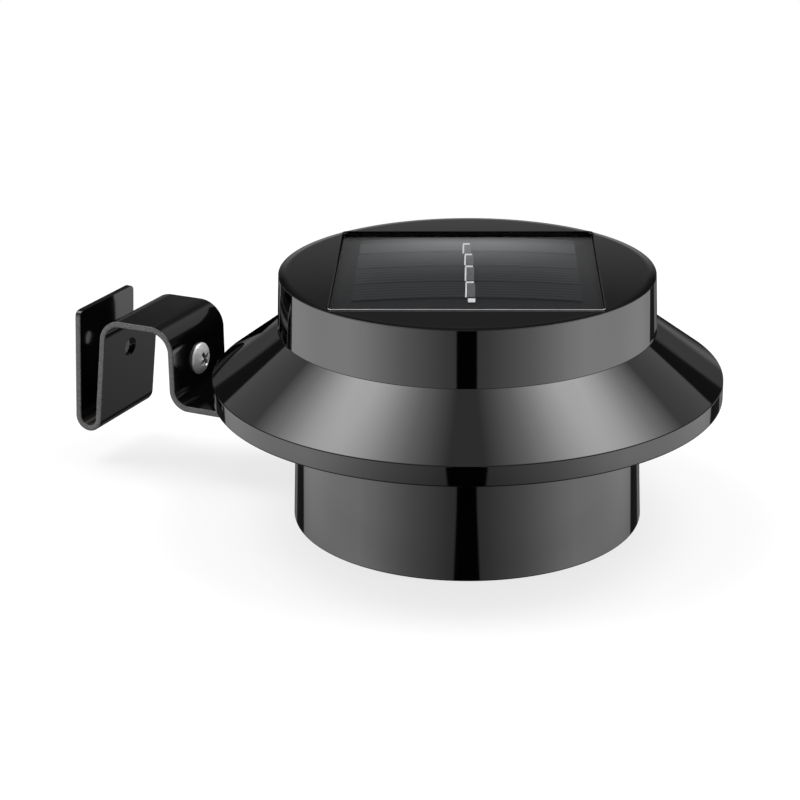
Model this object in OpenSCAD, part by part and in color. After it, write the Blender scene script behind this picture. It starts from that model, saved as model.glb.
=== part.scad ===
// Round solar fence light on a bent steel clip bracket.
// The origin is on the lamp's axis, in the plane that the lamp stands on. +Z is up, and the
// bracket leaves the back of the lamp along +Y. All lengths are in millimetres, angles in degrees.

/* [Hood] */
// Height of the rim's lower edge above the base
rim_z = 30.6; // [29:0.2:34]
// Radius of the rim, the widest part of the lamp
rim_r = 60; // [57:0.5:66]
// Height of the upright band round the rim
rim_h = 4.8; // [3:0.2:7]
// Rise of the sloping shade, from the band to the cap
cone_h = 11.6; // [10:0.2:14]
// Height of the cap's upright side
cap_side_h = 13.6; // [13:0.2:18]
// Radius of the cap where the slope ends
cap_base_r = 44.3; // [43.8:0.1:47]
// Narrowing of the cap from the slope up to its flat top
cap_draft = 0.5; // [0:0.1:1]
// Wall thickness of the hood
hood_wall = 2; // [1.6:0.1:2.4]
// Rounding of the cap's top edge
cap_round = 0.8; // [0.3:0.1:1]
// Rounding of the rim's lower edge
rim_round = 0.4; // [0.3:0.1:1]
// Thickness of the ceiling under the panel's recess
ceiling_t = 1.6; // [1.2:0.1:2.4]
// Depth of the seal's seat below the panel's recess
shoulder_drop = 9; // [6:0.5:9.5]

/* [Solar panel] */
// Least width of the cap's flat top past the recess's corners
recess_edge = 1.2; // [0.8:0.1:4]
// Depth of the recess
recess_depth = 3.2; // [3:0.1:4]
// Rounding of the recess's corners
recess_round = 1; // [0.6:0.1:3]
// Turn of the square against the bracket
panel_turn = -66; // [-90:1:0]
// Clearance round the panel in its recess
panel_fit = 0.25; // [0.1:0.05:0.4]
// Depth of the window's flat top below the cap's top
panel_set = 0.75; // [0.5:0.05:1]
// Rise of the cells' middle over the panel's two sides
panel_crown = 1.2; // [0.4:0.1:1.2]
// Thickness of the clear window over the middle of the cells
window_t = 0.5; // [0.4:0.1:0.6]
// Length of each strip cell
cell_w = 52; // [40:0.5:54]
// Depth of each strip cell
cell_d = 11.6; // [9:0.1:12]
// Margin between the back cell and the panel's back edge
cell_margin = 0.9; // [0.3:0.1:6]
// Gap between two strip cells
cell_gap = 0.4; // [0.2:0.1:1]
// Thickness of a strip cell
cell_t = 0.25; // [0.15:0.05:0.3]
// Width of the ribbon that joins the cells
ribbon_w = 1.9; // [1:0.1:3]
// Thickness of the ribbon
ribbon_t = 0.12; // [0.08:0.02:0.2]
// Length of the ribbon's end pad, past the front cell
ribbon_pad = 3; // [1:0.1:4]

/* [Lower housing] */
// Gap between the top of the housing and the hood round it
can_gap = 2.5; // [1.5:0.1:2.5]
// Widening of the housing towards its base
can_flare = 1.8; // [0:0.1:2]
// Wall thickness of the housing
can_wall = 2; // [1.5:0.1:2.3]
// Thickness of the housing's floor
can_floor = 2.5; // [2:0.1:3]
// Rounding of the housing's lower edge
can_round = 0.3; // [0.3:0.1:1.2]
// Height of the flange round the housing's top
flange_h = 2; // [1.2:0.1:2.4]
// Clearance of that flange in the hood
sleeve_fit = 0.3; // [0.1:0.05:0.5]
// Thickness of the seal between hood and housing
seal_t = 1.2; // [0.8:0.1:2]
// Width of the seal's seat
seal_w = 3; // [2.4:0.1:3.4]
// Clearance of the seal in its seat
seal_fit = 0.3; // [0.1:0.05:0.5]

/* [Housing screws] */
// Radius of a housing screw's shank
fix_r = 1.5; // [1.2:0.1:1.6]
// Radius of a housing screw's head
fix_head_r = 2.75; // [2.4:0.05:3]
// Height of a housing screw's head
fix_head_h = 2; // [1.5:0.1:2.4]
// Length of a housing screw's shank
fix_len = 12; // [8:0.5:16]
// Radius of a screw boss under the hood
boss_r = 3.6; // [3:0.1:4]
// Clearance round a screw's head in its well
well_fit = 0.35; // [0.2:0.05:0.5]
// Wall thickness of a screw well
well_wall = 1.5; // [1:0.1:1.7]
// Gap between a screw well and the housing's wall
well_gap = 0.5; // [0.3:0.1:1]
// Height of a screw well's top above the base
well_h = 23.9; // [22:0.1:27]
// Thickness of the web that a screw's head pulls on
web_t = 2; // [1.5:0.1:3]
// Clearance between a well's top and its boss
boss_gap = 0.3; // [0.1:0.05:0.6]
// Clearance of a screw's shank in plastic
shank_fit = 0.05; // [0.02:0.01:0.1]

/* [Lens and reflector] */
// Gap between the lens's flange and the screw wells
lens_gap = 0.3; // [0.2:0.1:1]
// Height of the lens's face above the base
lens_set = 1; // [0.5:0.1:1.5]
// Clearance of the lens in the opening
lens_fit = 0.3; // [0.1:0.05:0.5]
// Width of the lens's flange on the floor
lens_flange_w = 2.1; // [1.5:0.1:3]
// Thickness of the lens's flange
lens_flange_t = 1.5; // [1:0.1:2]
// Height of the reflector, from the lens to the circuit board
reflector_h = 5.9; // [5.5:0.1:8]
// Thickness of the reflector's plate
reflector_plate = 1; // [0.6:0.1:1.5]
// Radius of a reflector cup's mouth
cup_r = 9.5; // [8:0.1:9.8]
// Radius of a reflector cup's neck
cup_neck_r = 3.3; // [3.1:0.1:4]
// Wall thickness of a reflector cup
cup_wall = 0.8; // [0.6:0.1:1]
// Width of the reflector's plate outside its cups
cup_edge = 1.4; // [0.6:0.1:2]
// Radius of a light-emitting diode's body
led_r = 2.4; // [2:0.1:2.5]
// Radius of a diode's flange
led_flange_r = 2.9; // [2.6:0.1:3]
// Height of a diode's flange
led_flange_h = 0.8; // [0.5:0.1:1]
// Height of a diode from the board to its tip
led_h = 5.1; // [4:0.1:5.4]

/* [Circuit board] */
// Gap between the circuit board and the housing's wall
board_gap = 2.6; // [2:0.1:3]
// Thickness of the circuit board
board_t = 1.6; // [1:0.1:2]
// Clearance of the board round the screw wells
board_fit = 0.5; // [0.3:0.05:0.8]
// Distance of the board's posts inside its edge
post_inset = 3.5; // [3:0.1:3.6]
// Radius of a board post
post_r = 2.6; // [2.2:0.1:2.7]
// Radius of a board screw's shank
board_screw_r = 1.1; // [0.9:0.05:1.2]
// Radius of a board screw's head
board_head_r = 2.2; // [1.8:0.1:2.3]
// Height of a board screw's head
board_head_h = 1.5; // [1:0.1:1.8]
// Length of a board screw's shank
board_screw_len = 6; // [5:0.1:7]
// Length of the driver chip's body
chip_l = 5; // [4:0.1:6]
// Width of the driver chip's body
chip_w = 4; // [3:0.1:5]
// Height of the driver chip's body
chip_h = 1.5; // [1:0.1:2]
// Radius of the choke's end discs
choke_r = 3.4; // [2.6:0.1:4]
// Height of the choke
choke_h = 4.6; // [3:0.1:6]
// Radius of the capacitor
cap_can_r = 2.5; // [2:0.1:3]
// Height of the capacitor
cap_can_h = 7; // [5:0.1:9]

/* [Battery] */
// Radius of the battery cell
cell_can_r = 7.25; // [7:0.05:7.3]
// Length of the battery cell without its positive cap
cell_can_l = 49.3; // [46:0.1:49.5]
// Radius of the battery's positive cap
cell_cap_r = 2.75; // [2.4:0.05:3]
// Height of the battery's positive cap
cell_cap_h = 1.1; // [0.8:0.1:1.4]
// Clearance round the battery in its holder
cell_fit = 0.25; // [0.1:0.05:0.3]
// Wall thickness of the battery holder
holder_wall = 1.6; // [1.2:0.1:1.7]
// Height of the battery holder's walls
holder_h = 11; // [9:0.5:12]
// Distance of the battery in front of the lamp's axis
holder_y = 8; // [7.5:0.1:8.5]
// Thickness of a contact plate
contact_t = 0.5; // [0.3:0.05:0.6]
// Width of a contact plate
contact_w = 10; // [8:0.1:12]
// Length of the battery spring as it is held
spring_l = 4.6; // [3.8:0.1:5]
// Radius of the spring's wire
spring_wire_r = 0.35; // [0.25:0.05:0.4]
// Radius of the spring's large end, to the wire's middle
spring_r1 = 4.8; // [4:0.1:5.5]
// Radius of the spring's small end, to the wire's middle
spring_r2 = 3.2; // [2.6:0.1:3.6]
// Number of turns in the spring
spring_turns = 3; // [2:1:4]

/* [Switch] */
// Distance of the switch inside the board's edge
switch_inset = 2.5; // [2.4:0.1:2.8]
// Width of the switch's body, across its travel
switch_w = 4.4; // [4:0.1:4.6]
// Length of the switch's body, along its travel
switch_l = 9.6; // [9:0.1:11]
// Wall thickness of the switch's body
switch_wall = 0.5; // [0.3:0.05:0.6]
// Travel of the switch's slider
switch_travel = 2.5; // [1.5:0.1:3]
// Width of the slider's knob, across its travel
knob_w = 2; // [1.4:0.1:2.2]
// Length of the slider's knob, along its travel
knob_l = 2.6; // [2:0.1:3]
// Height of the knob's tip above the base
knob_set = 0.5; // [0.3:0.1:0.8]
// Clearance of the knob in its slot
knob_fit = 0.3; // [0.2:0.05:0.4]
// Depth of the finger pocket round the knob
pocket_depth = 1.2; // [0.8:0.1:1.4]
// Width of the finger pocket past the knob's slot, on each side
pocket_margin = 1.3; // [0.8:0.1:1.5]
// Height of the slider's foot inside the body
foot_h = 1.6; // [1:0.1:2]
// Overhang of the slider's foot past the knob, on each side
foot_margin = 0.6; // [0.4:0.05:0.65]
// Height of the room for the slider's foot
foot_room = 2.4; // [2.2:0.1:3]

/* [Bracket] */
// Width of the steel strip
strip_w = 25; // [18:0.5:26]
// Thickness of the steel strip
strip_t = 1.5; // [1:0.1:1.8]
// Height of the tongue's underside above the base
tongue_z = 18; // [17.5:0.1:19.5]
// Length of the tongue inside the lamp
tongue_grip = 14; // [10:0.5:15]
// Distance of the front leg's lamp side from the lamp's axis
front_leg_y = 73.5; // [66:0.5:80]
// Width of the saddle, between the two legs' inner faces at the top
saddle_w = 18.2; // [14:0.2:30]
// Height of the saddle's underside above the base
saddle_z = 37.4; // [36:0.2:44]
// Height of the bracket's lowest bend above the base
hook_z = 8.35; // [4:0.05:9]
// Height of the back plate's upper edge above the base
plate_top_z = 40; // [34:0.5:50]
// Lean of the back leg
leg_lean = 7; // [0:0.5:9]
// Lean of the back plate towards the lamp
plate_lean = 3.5; // [0:0.5:5]
// Inner radius of the bend from the tongue to the front leg
tongue_bend_r = 3.5; // [2:0.1:4]
// Inner radius of the bend at the saddle's front
front_bend_r = 5; // [3:0.1:5]
// Inner radius of the bend at the saddle's back
back_bend_r = 4.5; // [3:0.1:5]
// Inner radius of the hook, half the width of its slot
hook_r = 2.2; // [1.5:0.1:4]
// Rounding of the strip's corners
strip_round = 1.5; // [0.5:0.1:3]
// Radius of the two screw holes
strip_hole_r = 2.05; // [2.02:0.01:2.1]
// Width of the hole's countersink
strip_sink = 0.5; // [0.2:0.1:0.6]

/* [Bracket socket] */
// Clearance round the tongue in its socket
socket_fit = 0.25; // [0.15:0.05:0.4]
// Wall thickness of the socket
socket_wall = 1.5; // [1:0.1:1.7]

/* [Clamp screw] */
// Radius of the clamp screw's shank
clamp_r = 2; // [1.95:0.01:2]
// Length of the clamp screw's shank
clamp_len = 6; // [5:0.5:6]
// Radius of the clamp screw's head
clamp_head_r = 4; // [3.2:0.1:4.2]
// Height of the clamp screw's domed head
clamp_head_h = 2.4; // [1.8:0.1:3]
// Height of the upright edge round the head
clamp_edge_h = 0.6; // [0.3:0.1:0.9]
// Width of the cross recess's arms
cross_w = 0.9; // [0.6:0.1:1.2]
// Depth of the cross recess
cross_depth = 1.2; // [0.8:0.1:1.4]

/* [Panel leads] */
// Radius of a panel lead
lead_r = 0.7; // [0.5:0.05:0.8]
// Radius of the hole that the leads pass through
lead_hole_r = 2.6; // [2.4:0.1:3]
// Distance of that hole behind the lamp's axis
lead_hole_y = 12; // [10:0.5:14]
// Half the distance between the leads in the hole
lead_split = 1.1; // [0.9:0.1:1.2]
// Half the distance between the leads' solder pads
lead_pad_x = 9; // [7:0.5:11]
// Distance of the leads' solder pads behind the lamp's axis
lead_pad_y = 15; // [13:0.5:17]

/* [Hidden] */

// Smoothness: sides a turn of round forms and of small ones, steps of a rounding, a bend and the crown
$fn = 96;
small_sides = 32;
round_steps = 6;
bend_steps = 12;
crown_steps = 16;

// One overrun serves every cut
over = 1;
// Number of strip cells
cells = 4;

// Heights of the hood
rim_top_z = rim_z + rim_h;
cone_top_z = rim_top_z + cone_h;
hood_top_z = cone_top_z + cap_side_h;
recess_z = hood_top_z - recess_depth;
ceiling_z = recess_z - ceiling_t;
shoulder_z = recess_z - shoulder_drop;
cap_top_r = cap_base_r - cap_draft;
cone_angle = atan2(cone_h, rim_r - cap_base_r);
sleeve_r = cap_base_r - hood_wall;
core_r = sleeve_r - seal_w;
recess_w = 2 * recess_round + sqrt(2) * (cap_top_r - recess_edge - recess_round);

// The housing ends under the seal
can_h = shoulder_z - seal_t;
can_top_r = sleeve_r - can_gap;
can_base_r = can_top_r + can_flare;
flange_r = sleeve_r - sleeve_fit;
function can_r(z) = can_base_r - (can_base_r - can_top_r) * z / can_h;

// Screws: three through the floor into the hood, three through the board into the floor
fix_angles = [30, 150, 270];
post_angles = [90, 225, 315];
well_r = fix_head_r + well_fit;
well_out_r = well_r + well_wall;
fix_pitch_r = can_r(well_h) - can_wall - well_gap - well_out_r;
web_z = well_h - web_t;
boss_z = well_h + boss_gap;

// The optical stack, from the base up, inside the screw wells
lens_z = can_floor + lens_flange_t;
lens_flange_r = fix_pitch_r - well_out_r - lens_gap;
lens_open_r = lens_flange_r - lens_flange_w;
board_z = lens_z + reflector_h;
board_top_z = board_z + board_t;
board_r = can_r(board_top_z) - can_wall - board_gap;
post_pitch_r = board_r - post_inset;
cup_angles = [90, 210, 330];
cup_pitch_r = lens_open_r - cup_edge - cup_wall - cup_r;

// The cells and their carrier are crowned, under a window that is flat on top
panel_w = recess_w - 2 * panel_fit;
window_top_z = hood_top_z - panel_set;
cell_top_z = window_top_z - window_t;
cell_top_r = (pow(panel_w / 2, 2) + pow(panel_crown, 2)) / (2 * panel_crown);
crown_z = cell_top_z - cell_top_r;
carrier_r = cell_top_r - cell_t;
cell_step = cell_d + cell_gap;
cells_d = cells * cell_step - cell_gap;
cells_y = panel_w / 2 - cell_margin - cells_d / 2;
ribbon_share = 0.82;
ribbon_fit = cell_t / 10;

// The battery lies along X, in front of the axis
cell_z = board_top_z + holder_wall + cell_fit + cell_can_r;
cell_room_l = cell_can_l + cell_cap_h + spring_l + 2 * contact_t;
holder_l = cell_room_l + 2 * holder_wall;
holder_w = 2 * (cell_can_r + cell_fit + holder_wall);
cell_x = -cell_room_l / 2 + contact_t + spring_l;
contact_h = holder_h - holder_wall;
ear_r = board_head_r + holder_wall / 4;
window_share = 0.5;

// Switch: it rests at the off end of its travel
switch_pitch_r = board_r - switch_inset;
slot_l = knob_l + switch_travel + 2 * knob_fit;
slot_w = knob_w + 2 * knob_fit;
foot_z = can_floor + knob_fit / 2;
foot_w = knob_w + 2 * foot_margin;
foot_l = knob_l + 2 * foot_margin;
knob_y = -switch_travel / 2;

// Bracket: bend centres in the plane of its profile, from the lamp outwards and up
tongue_top_z = tongue_z + strip_t;
tongue_end_y = can_r(tongue_z) - tongue_grip;
front_in_y = front_leg_y + strip_t;
tongue_bend = [front_leg_y - tongue_bend_r, tongue_top_z + tongue_bend_r];
front_bend = [front_in_y + front_bend_r, saddle_z - front_bend_r];
strip_hole_z = (tongue_bend[1] + front_bend[1]) / 2;
back_bend = [front_in_y + saddle_w - back_bend_r * cos(leg_lean), saddle_z - back_bend_r];
leg_out = [cos(leg_lean), sin(leg_lean)];
leg_top = back_bend + (back_bend_r + strip_t) * leg_out;
hook_c_z = hook_z + strip_t + hook_r;
leg_l = (leg_top[1] - hook_c_z + hook_r * sin(leg_lean)) / cos(leg_lean);
hook_c = leg_top + leg_l * [sin(leg_lean), -cos(leg_lean)] + hook_r * leg_out;
plate_out = [cos(plate_lean), sin(plate_lean)];
plate_l = (plate_top_z - hook_c[1] - hook_r * sin(plate_lean)) / cos(plate_lean);
plate_end = hook_c + hook_r * plate_out + plate_l * [-sin(plate_lean), cos(plate_lean)];

// Socket for the tongue, in the back of the housing
socket_w = strip_w + 2 * socket_fit;
socket_in_y = tongue_end_y - socket_fit;
socket_back_y = socket_in_y - socket_wall;

// Outline points of a quarter or other arc, from one angle to another
function arc(c, r, from, to, n = round_steps) =
    [for (i = [0:n]) let (a = from + (to - from) * i / n) [c[0] + r * cos(a), c[1] + r * sin(a)]];

// Outline of a square with rounded corners, about the origin
function soft_square(half, r) = let (k = half - r) concat(
    arc([k, k], r, 0, 90), arc([-k, k], r, 90, 180), arc([-k, -k], r, 180, 270), arc([k, -k], r, 270, 360));

// Places a child at each angle of a list, on a circle about the lamp's axis
module around(angles, pitch_r) {
    for (a = angles) rotate([0, 0, a]) translate([pitch_r, 0, 0]) rotate([0, 0, -a]) children();
}

// Upright rod between two heights
module rod(r, z0, z1, sides = $fn) {
    translate([0, 0, z0]) cylinder(r = r, h = z1 - z0, $fn = sides);
}

// Block between two heights, centred in plan
module block(w, l, z0, z1) {
    translate([-w / 2, -l / 2, z0]) cube([w, l, z1 - z0]);
}

// Domed screw head that grows from z = 0 upwards, with a cross recess
module screw_head(r, h, edge, arm_w, depth) {
    dome_h = h - edge;
    dome_r = (r * r + dome_h * dome_h) / (2 * dome_h);
    half_angle = asin(r / dome_r);
    difference() {
        rotate_extrude($fn = small_sides)
            polygon(concat([[0, 0], [r, 0]], arc([0, h - dome_r], dome_r, 90 - half_angle, 90)));
        for (a = [0, 90]) rotate([0, 0, a]) block(arm_w, r, h - depth, h + over);
    }
}

// HOOD: cap, shade and rim in one moulding, with long screw bosses inside
module hood_outline() {
    slope_drop = hood_wall / cos(cone_angle);
    rim_in_r = rim_r - hood_wall;
    rim_in_z = rim_top_z + hood_wall * tan(cone_angle) - slope_drop;
    sleeve_z = rim_top_z + (rim_r - sleeve_r) * tan(cone_angle) - slope_drop;
    polygon(concat(
        [[0, hood_top_z]],
        arc([cap_top_r - cap_round, hood_top_z - cap_round], cap_round, 90, 0),
        [[cap_base_r, cone_top_z], [rim_r, rim_top_z]],
        arc([rim_r - rim_round, rim_z + rim_round], rim_round, 0, -90),
        [[rim_in_r, rim_z], [rim_in_r, rim_in_z], [sleeve_r, sleeve_z], [sleeve_r, shoulder_z],
         [core_r, shoulder_z], [core_r, ceiling_z], [0, ceiling_z]]));
}

module upper_shell() {
    color([0.06, 0.06, 0.065]) difference() {
        union() {
            rotate_extrude() hood_outline();
            around(fix_angles, fix_pitch_r) rod(boss_r, boss_z, ceiling_z + ceiling_t / 2, small_sides);
        }
        translate([0, 0, recess_z]) rotate([0, 0, panel_turn])
            linear_extrude(height = recess_depth + over) polygon(soft_square(recess_w / 2, recess_round));
        translate([0, lead_hole_y, 0]) rod(lead_hole_r, ceiling_z - over, recess_z + over, small_sides);
        around(fix_angles, fix_pitch_r)
            rod(fix_r + shank_fit, boss_z - over, boss_z + fix_len, small_sides);
    }
}

// SOLAR PANEL: carrier, strip cells, ribbons and window, turned with the recess
module crown(r) {
    half = recess_w / 2;
    reach = asin(half / r);
    low = r - 2 * recess_depth;
    translate([0, 0, crown_z]) rotate([90, 0, 0]) linear_extrude(height = 2 * recess_w, center = true)
        polygon(concat(arc([0, 0], r, 90 - reach, 90 + reach, crown_steps), [[-half, low], [half, low]]));
}

module panel_plate() {
    translate([0, 0, recess_z]) linear_extrude(height = window_top_z - recess_z)
        polygon(soft_square(panel_w / 2, recess_round));
}

// One ribbon on each cell, and an end pad on the carrier in front of the front cell
module ribbon_row(grow, drop) {
    width = ribbon_w + 2 * grow;
    top_z = cell_top_z + ribbon_t + grow;
    for (i = [0:cells - 1])
        translate([0, cells_y + (i - (cells - 1) / 2) * cell_step, 0])
            block(width, ribbon_share * cell_d + 2 * grow, cell_top_z - drop, top_z);
    translate([0, cells_y - (cells_d + ribbon_pad) / 2 - cell_gap, 0])
        block(width, ribbon_pad + 2 * grow, cell_top_z - cell_t - drop, top_z);
}

module panel_carrier() {
    color([0.03, 0.03, 0.035]) rotate([0, 0, panel_turn]) intersection() {
        panel_plate();
        crown(carrier_r);
    }
}

module solar_cells() {
    color([0.05, 0.06, 0.09]) rotate([0, 0, panel_turn]) difference() {
        intersection() {
            crown(cell_top_r);
            for (i = [0:cells - 1])
                translate([0, cells_y + (i - (cells - 1) / 2) * cell_step, 0])
                    block(cell_w, cell_d, recess_z, hood_top_z);
        }
        crown(carrier_r);
    }
}

module cell_ribbons() {
    color([0.75, 0.74, 0.7]) rotate([0, 0, panel_turn]) ribbon_row(0, 0);
}

module panel_window() {
    color([0.5, 0.52, 0.55, 0.25]) rotate([0, 0, panel_turn]) difference() {
        panel_plate();
        crown(cell_top_r);
        ribbon_row(ribbon_fit, ribbon_t);
    }
}

// PANEL LEADS: from the panel's underside, through the ceiling, down to the circuit board
lead_steps = 20;
lead_sides = 8;
function ease(t) = t * t * (3 - 2 * t);
function lead_point(side, t) = [
    side * (lead_split + (lead_pad_x - lead_split) * ease(t)),
    lead_hole_y + (lead_pad_y - lead_hole_y) * ease(t),
    recess_z + (board_top_z - recess_z) * t];

// Level rings along the route, because the leads run down steeply all the way
module lead(side) {
    points = [for (i = [0:lead_steps], k = [0:lead_sides - 1])
        let (p = lead_point(side, i / lead_steps), a = 360 * k / lead_sides)
            p + lead_r * [cos(a), sin(a), 0]];
    last = lead_steps * lead_sides;
    polyhedron(points = points, convexity = 4, faces = concat(
        [[for (k = [0:lead_sides - 1]) k]],
        [[for (k = [0:lead_sides - 1]) last + lead_sides - 1 - k]],
        [for (i = [0:lead_steps - 1], k = [0:lead_sides - 1])
            let (a = i * lead_sides + k, b = i * lead_sides + (k + 1) % lead_sides)
                [a, a + lead_sides, b + lead_sides]],
        [for (i = [0:lead_steps - 1], k = [0:lead_sides - 1])
            let (a = i * lead_sides + k, b = i * lead_sides + (k + 1) % lead_sides)
                [a, b + lead_sides, b]]));
}

module panel_lead_red() {
    color([0.7, 0.08, 0.06]) lead(-1);
}

module panel_lead_black() {
    color([0.05, 0.05, 0.05]) lead(1);
}

// SEAL between the housing's rim and the hood's shoulder
module body_seal() {
    color([0.12, 0.12, 0.12]) difference() {
        rod(sleeve_r - seal_fit, can_h, shoulder_z);
        rod(core_r + seal_fit, can_h - over, shoulder_z + over);
    }
}

// LOWER HOUSING: tapered can with screw wells, board posts, switch slot and bracket socket
module can_outline() {
    flange_z = can_h - flange_h;
    flange_out = flange_r - can_r(flange_z);
    polygon(concat(
        [[lens_open_r, 0]],
        arc([can_base_r - can_round, can_round], can_round, -90, 0),
        [[can_r(flange_z - flange_out), flange_z - flange_out], [flange_r, flange_z], [flange_r, can_h],
         [can_top_r - can_wall, can_h], [can_r(can_floor) - can_wall, can_floor], [lens_open_r, can_floor]]));
}

module socket_body() {
    intersection() {
        translate([0, (socket_back_y + can_base_r) / 2, 0])
            block(socket_w + 2 * socket_wall, can_base_r - socket_back_y,
                tongue_z - socket_fit - socket_wall, tongue_top_z + socket_fit + socket_wall);
        cylinder(r1 = can_base_r - can_wall / 2, r2 = can_top_r - can_wall / 2, h = can_h);
    }
}

module socket_room() {
    out_y = can_base_r + over;
    translate([0, (socket_in_y + out_y) / 2, 0])
        block(socket_w, out_y - socket_in_y, tongue_z - socket_fit, tongue_top_z + socket_fit);
}

module lower_housing() {
    color([0.07, 0.07, 0.075]) difference() {
        union() {
            rotate_extrude() can_outline();
            around(fix_angles, fix_pitch_r) rod(well_out_r, can_floor / 2, well_h, small_sides);
            around(post_angles, post_pitch_r) rod(post_r, can_floor / 2, board_z, small_sides);
            socket_body();
        }
        around(fix_angles, fix_pitch_r) {
            rod(well_r, -over, web_z, small_sides);
            rod(fix_r + shank_fit, web_z - over, well_h + over, small_sides);
        }
        around(post_angles, post_pitch_r)
            rod(board_screw_r + shank_fit, board_top_z - board_screw_len, board_z + over, small_sides);
        socket_room();
        translate([-switch_pitch_r, 0, 0]) {
            block(slot_w, slot_l, -over, can_floor + over);
            block(slot_w + 2 * pocket_margin, slot_l + 2 * pocket_margin, -over, pocket_depth);
        }
    }
}

// LENS, REFLECTOR AND DIODES
module lens() {
    color([0.85, 0.88, 0.9, 0.4]) union() {
        rod(lens_open_r - lens_fit, lens_set, lens_z);
        rod(lens_flange_r, can_floor, lens_z);
    }
}

module reflector() {
    color([0.82, 0.82, 0.84]) difference() {
        union() {
            rod(lens_open_r, lens_z, lens_z + reflector_plate);
            around(cup_angles, cup_pitch_r) translate([0, 0, lens_z])
                cylinder(r1 = cup_r + cup_wall, r2 = cup_neck_r + cup_wall, h = reflector_h);
        }
        around(cup_angles, cup_pitch_r) {
            translate([0, 0, lens_z]) cylinder(r1 = cup_r, r2 = cup_neck_r, h = reflector_h);
            rod(cup_r, lens_z - over, lens_z);
            rod(cup_neck_r, board_z, board_z + over);
        }
    }
}

module leds() {
    color([0.95, 0.93, 0.8]) around(cup_angles, cup_pitch_r) {
        rod(led_flange_r, board_z - led_flange_h, board_z, small_sides);
        rod(led_r, board_z - led_h + led_r, board_z, small_sides);
        translate([0, 0, board_z - led_h + led_r]) sphere(r = led_r, $fn = small_sides);
    }
}

// CIRCUIT BOARD and what stands on it
module circuit_board() {
    color([0.05, 0.28, 0.13]) difference() {
        rod(board_r, board_z, board_top_z);
        around(fix_angles, fix_pitch_r)
            rod(well_out_r + board_fit, board_z - over, board_top_z + over, small_sides);
        around(post_angles, post_pitch_r)
            rod(board_screw_r + shank_fit, board_z - over, board_top_z + over, small_sides);
    }
}

// Places on the board, as shares of its radius
chip_shares = [-0.42, 0.3];
choke_shares = [0.02, 0.24];
capacitor_shares = [0.5, 0.2];
chip_at = board_r * chip_shares;
choke_at = board_r * choke_shares;
capacitor_at = board_r * capacitor_shares;

module driver_chip() {
    legs = 4;
    leg_step = chip_l / legs;
    leg_w = leg_step / 3;
    leg_out = chip_w / 4;
    color([0.1, 0.1, 0.1]) translate([chip_at[0], chip_at[1], 0]) union() {
        block(chip_l, chip_w, board_top_z + chip_h / 10, board_top_z + chip_h);
        for (i = [0:legs - 1]) translate([(i - (legs - 1) / 2) * leg_step, 0, 0])
            block(leg_w, chip_w + 2 * leg_out, board_top_z, board_top_z + chip_h / 4);
    }
}

module choke() {
    disc_h = choke_h / 5;
    core_share = 0.82;
    color([0.45, 0.25, 0.12]) translate([choke_at[0], choke_at[1], 0]) union() {
        rod(choke_r, board_top_z, board_top_z + disc_h, small_sides);
        rod(core_share * choke_r, board_top_z + disc_h / 2, board_top_z + choke_h - disc_h / 2, small_sides);
        rod(choke_r, board_top_z + choke_h - disc_h, board_top_z + choke_h, small_sides);
    }
}

module capacitor() {
    neck_h = cap_can_h / 12;
    neck_z = board_top_z + 2 * neck_h;
    neck_share = 0.9;
    color([0.12, 0.14, 0.2]) translate([capacitor_at[0], capacitor_at[1], 0]) union() {
        rod(cap_can_r, board_top_z, neck_z, small_sides);
        rod(neck_share * cap_can_r, neck_z - neck_h / 2, neck_z + neck_h, small_sides);
        rod(cap_can_r, neck_z + neck_h / 2, board_top_z + cap_can_h, small_sides);
    }
}

// SWITCH: body on the floor under the board's edge, and its slider
module switch_body() {
    room_w = switch_w - 2 * switch_wall;
    room_l = switch_l - 2 * switch_wall;
    color([0.7, 0.7, 0.72]) translate([-switch_pitch_r, 0, 0]) difference() {
        block(switch_w, switch_l, can_floor, board_z);
        block(room_w, room_l, can_floor - over, can_floor + foot_room);
    }
}

module switch_slider() {
    color([0.1, 0.1, 0.1]) translate([-switch_pitch_r, knob_y, 0]) union() {
        block(knob_w, knob_l, knob_set, foot_z + foot_h / 2);
        block(foot_w, foot_l, foot_z, foot_z + foot_h);
    }
}

// BATTERY: open holder screwed down with the board, one AA cell, spring and contacts
module battery_holder() {
    wall_notch_l = window_share * holder_l;
    floor_z = board_top_z + holder_wall;
    top_z = board_top_z + holder_h;
    color([0.1, 0.1, 0.11]) difference() {
        union() {
            translate([0, -holder_y, 0]) block(holder_l, holder_w, board_top_z, top_z);
            for (a = [225, 315]) {
                ear_x = post_pitch_r * cos(a);
                ear_y = post_pitch_r * sin(a);
                translate([ear_x, ear_y, 0]) rod(ear_r, board_top_z, floor_z, small_sides);
                translate([ear_x, (ear_y - holder_y) / 2, 0])
                    block(2 * ear_r, abs(ear_y + holder_y), board_top_z, floor_z);
            }
        }
        translate([0, -holder_y, 0]) {
            block(cell_room_l, holder_w - 2 * holder_wall, floor_z, top_z + over);
            block(wall_notch_l, holder_w + 2 * over, cell_z, top_z + over);
            for (side = [-1, 1]) translate([side * (cell_room_l - contact_t) / 2, 0, 0])
                block(contact_t, contact_w / 3, board_top_z - over, floor_z + over);
        }
        for (a = [225, 315]) translate([post_pitch_r * cos(a), post_pitch_r * sin(a), 0])
            rod(board_screw_r + shank_fit, board_top_z - over, floor_z + over, small_sides);
    }
}

module battery_cell() {
    color([0.25, 0.45, 0.3]) translate([cell_x, -holder_y, cell_z]) rotate([0, 90, 0]) union() {
        rod(cell_can_r, 0, cell_can_l);
        rod(cell_cap_r, cell_can_l - cell_cap_h, cell_can_l + cell_cap_h, small_sides);
    }
}

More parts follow.
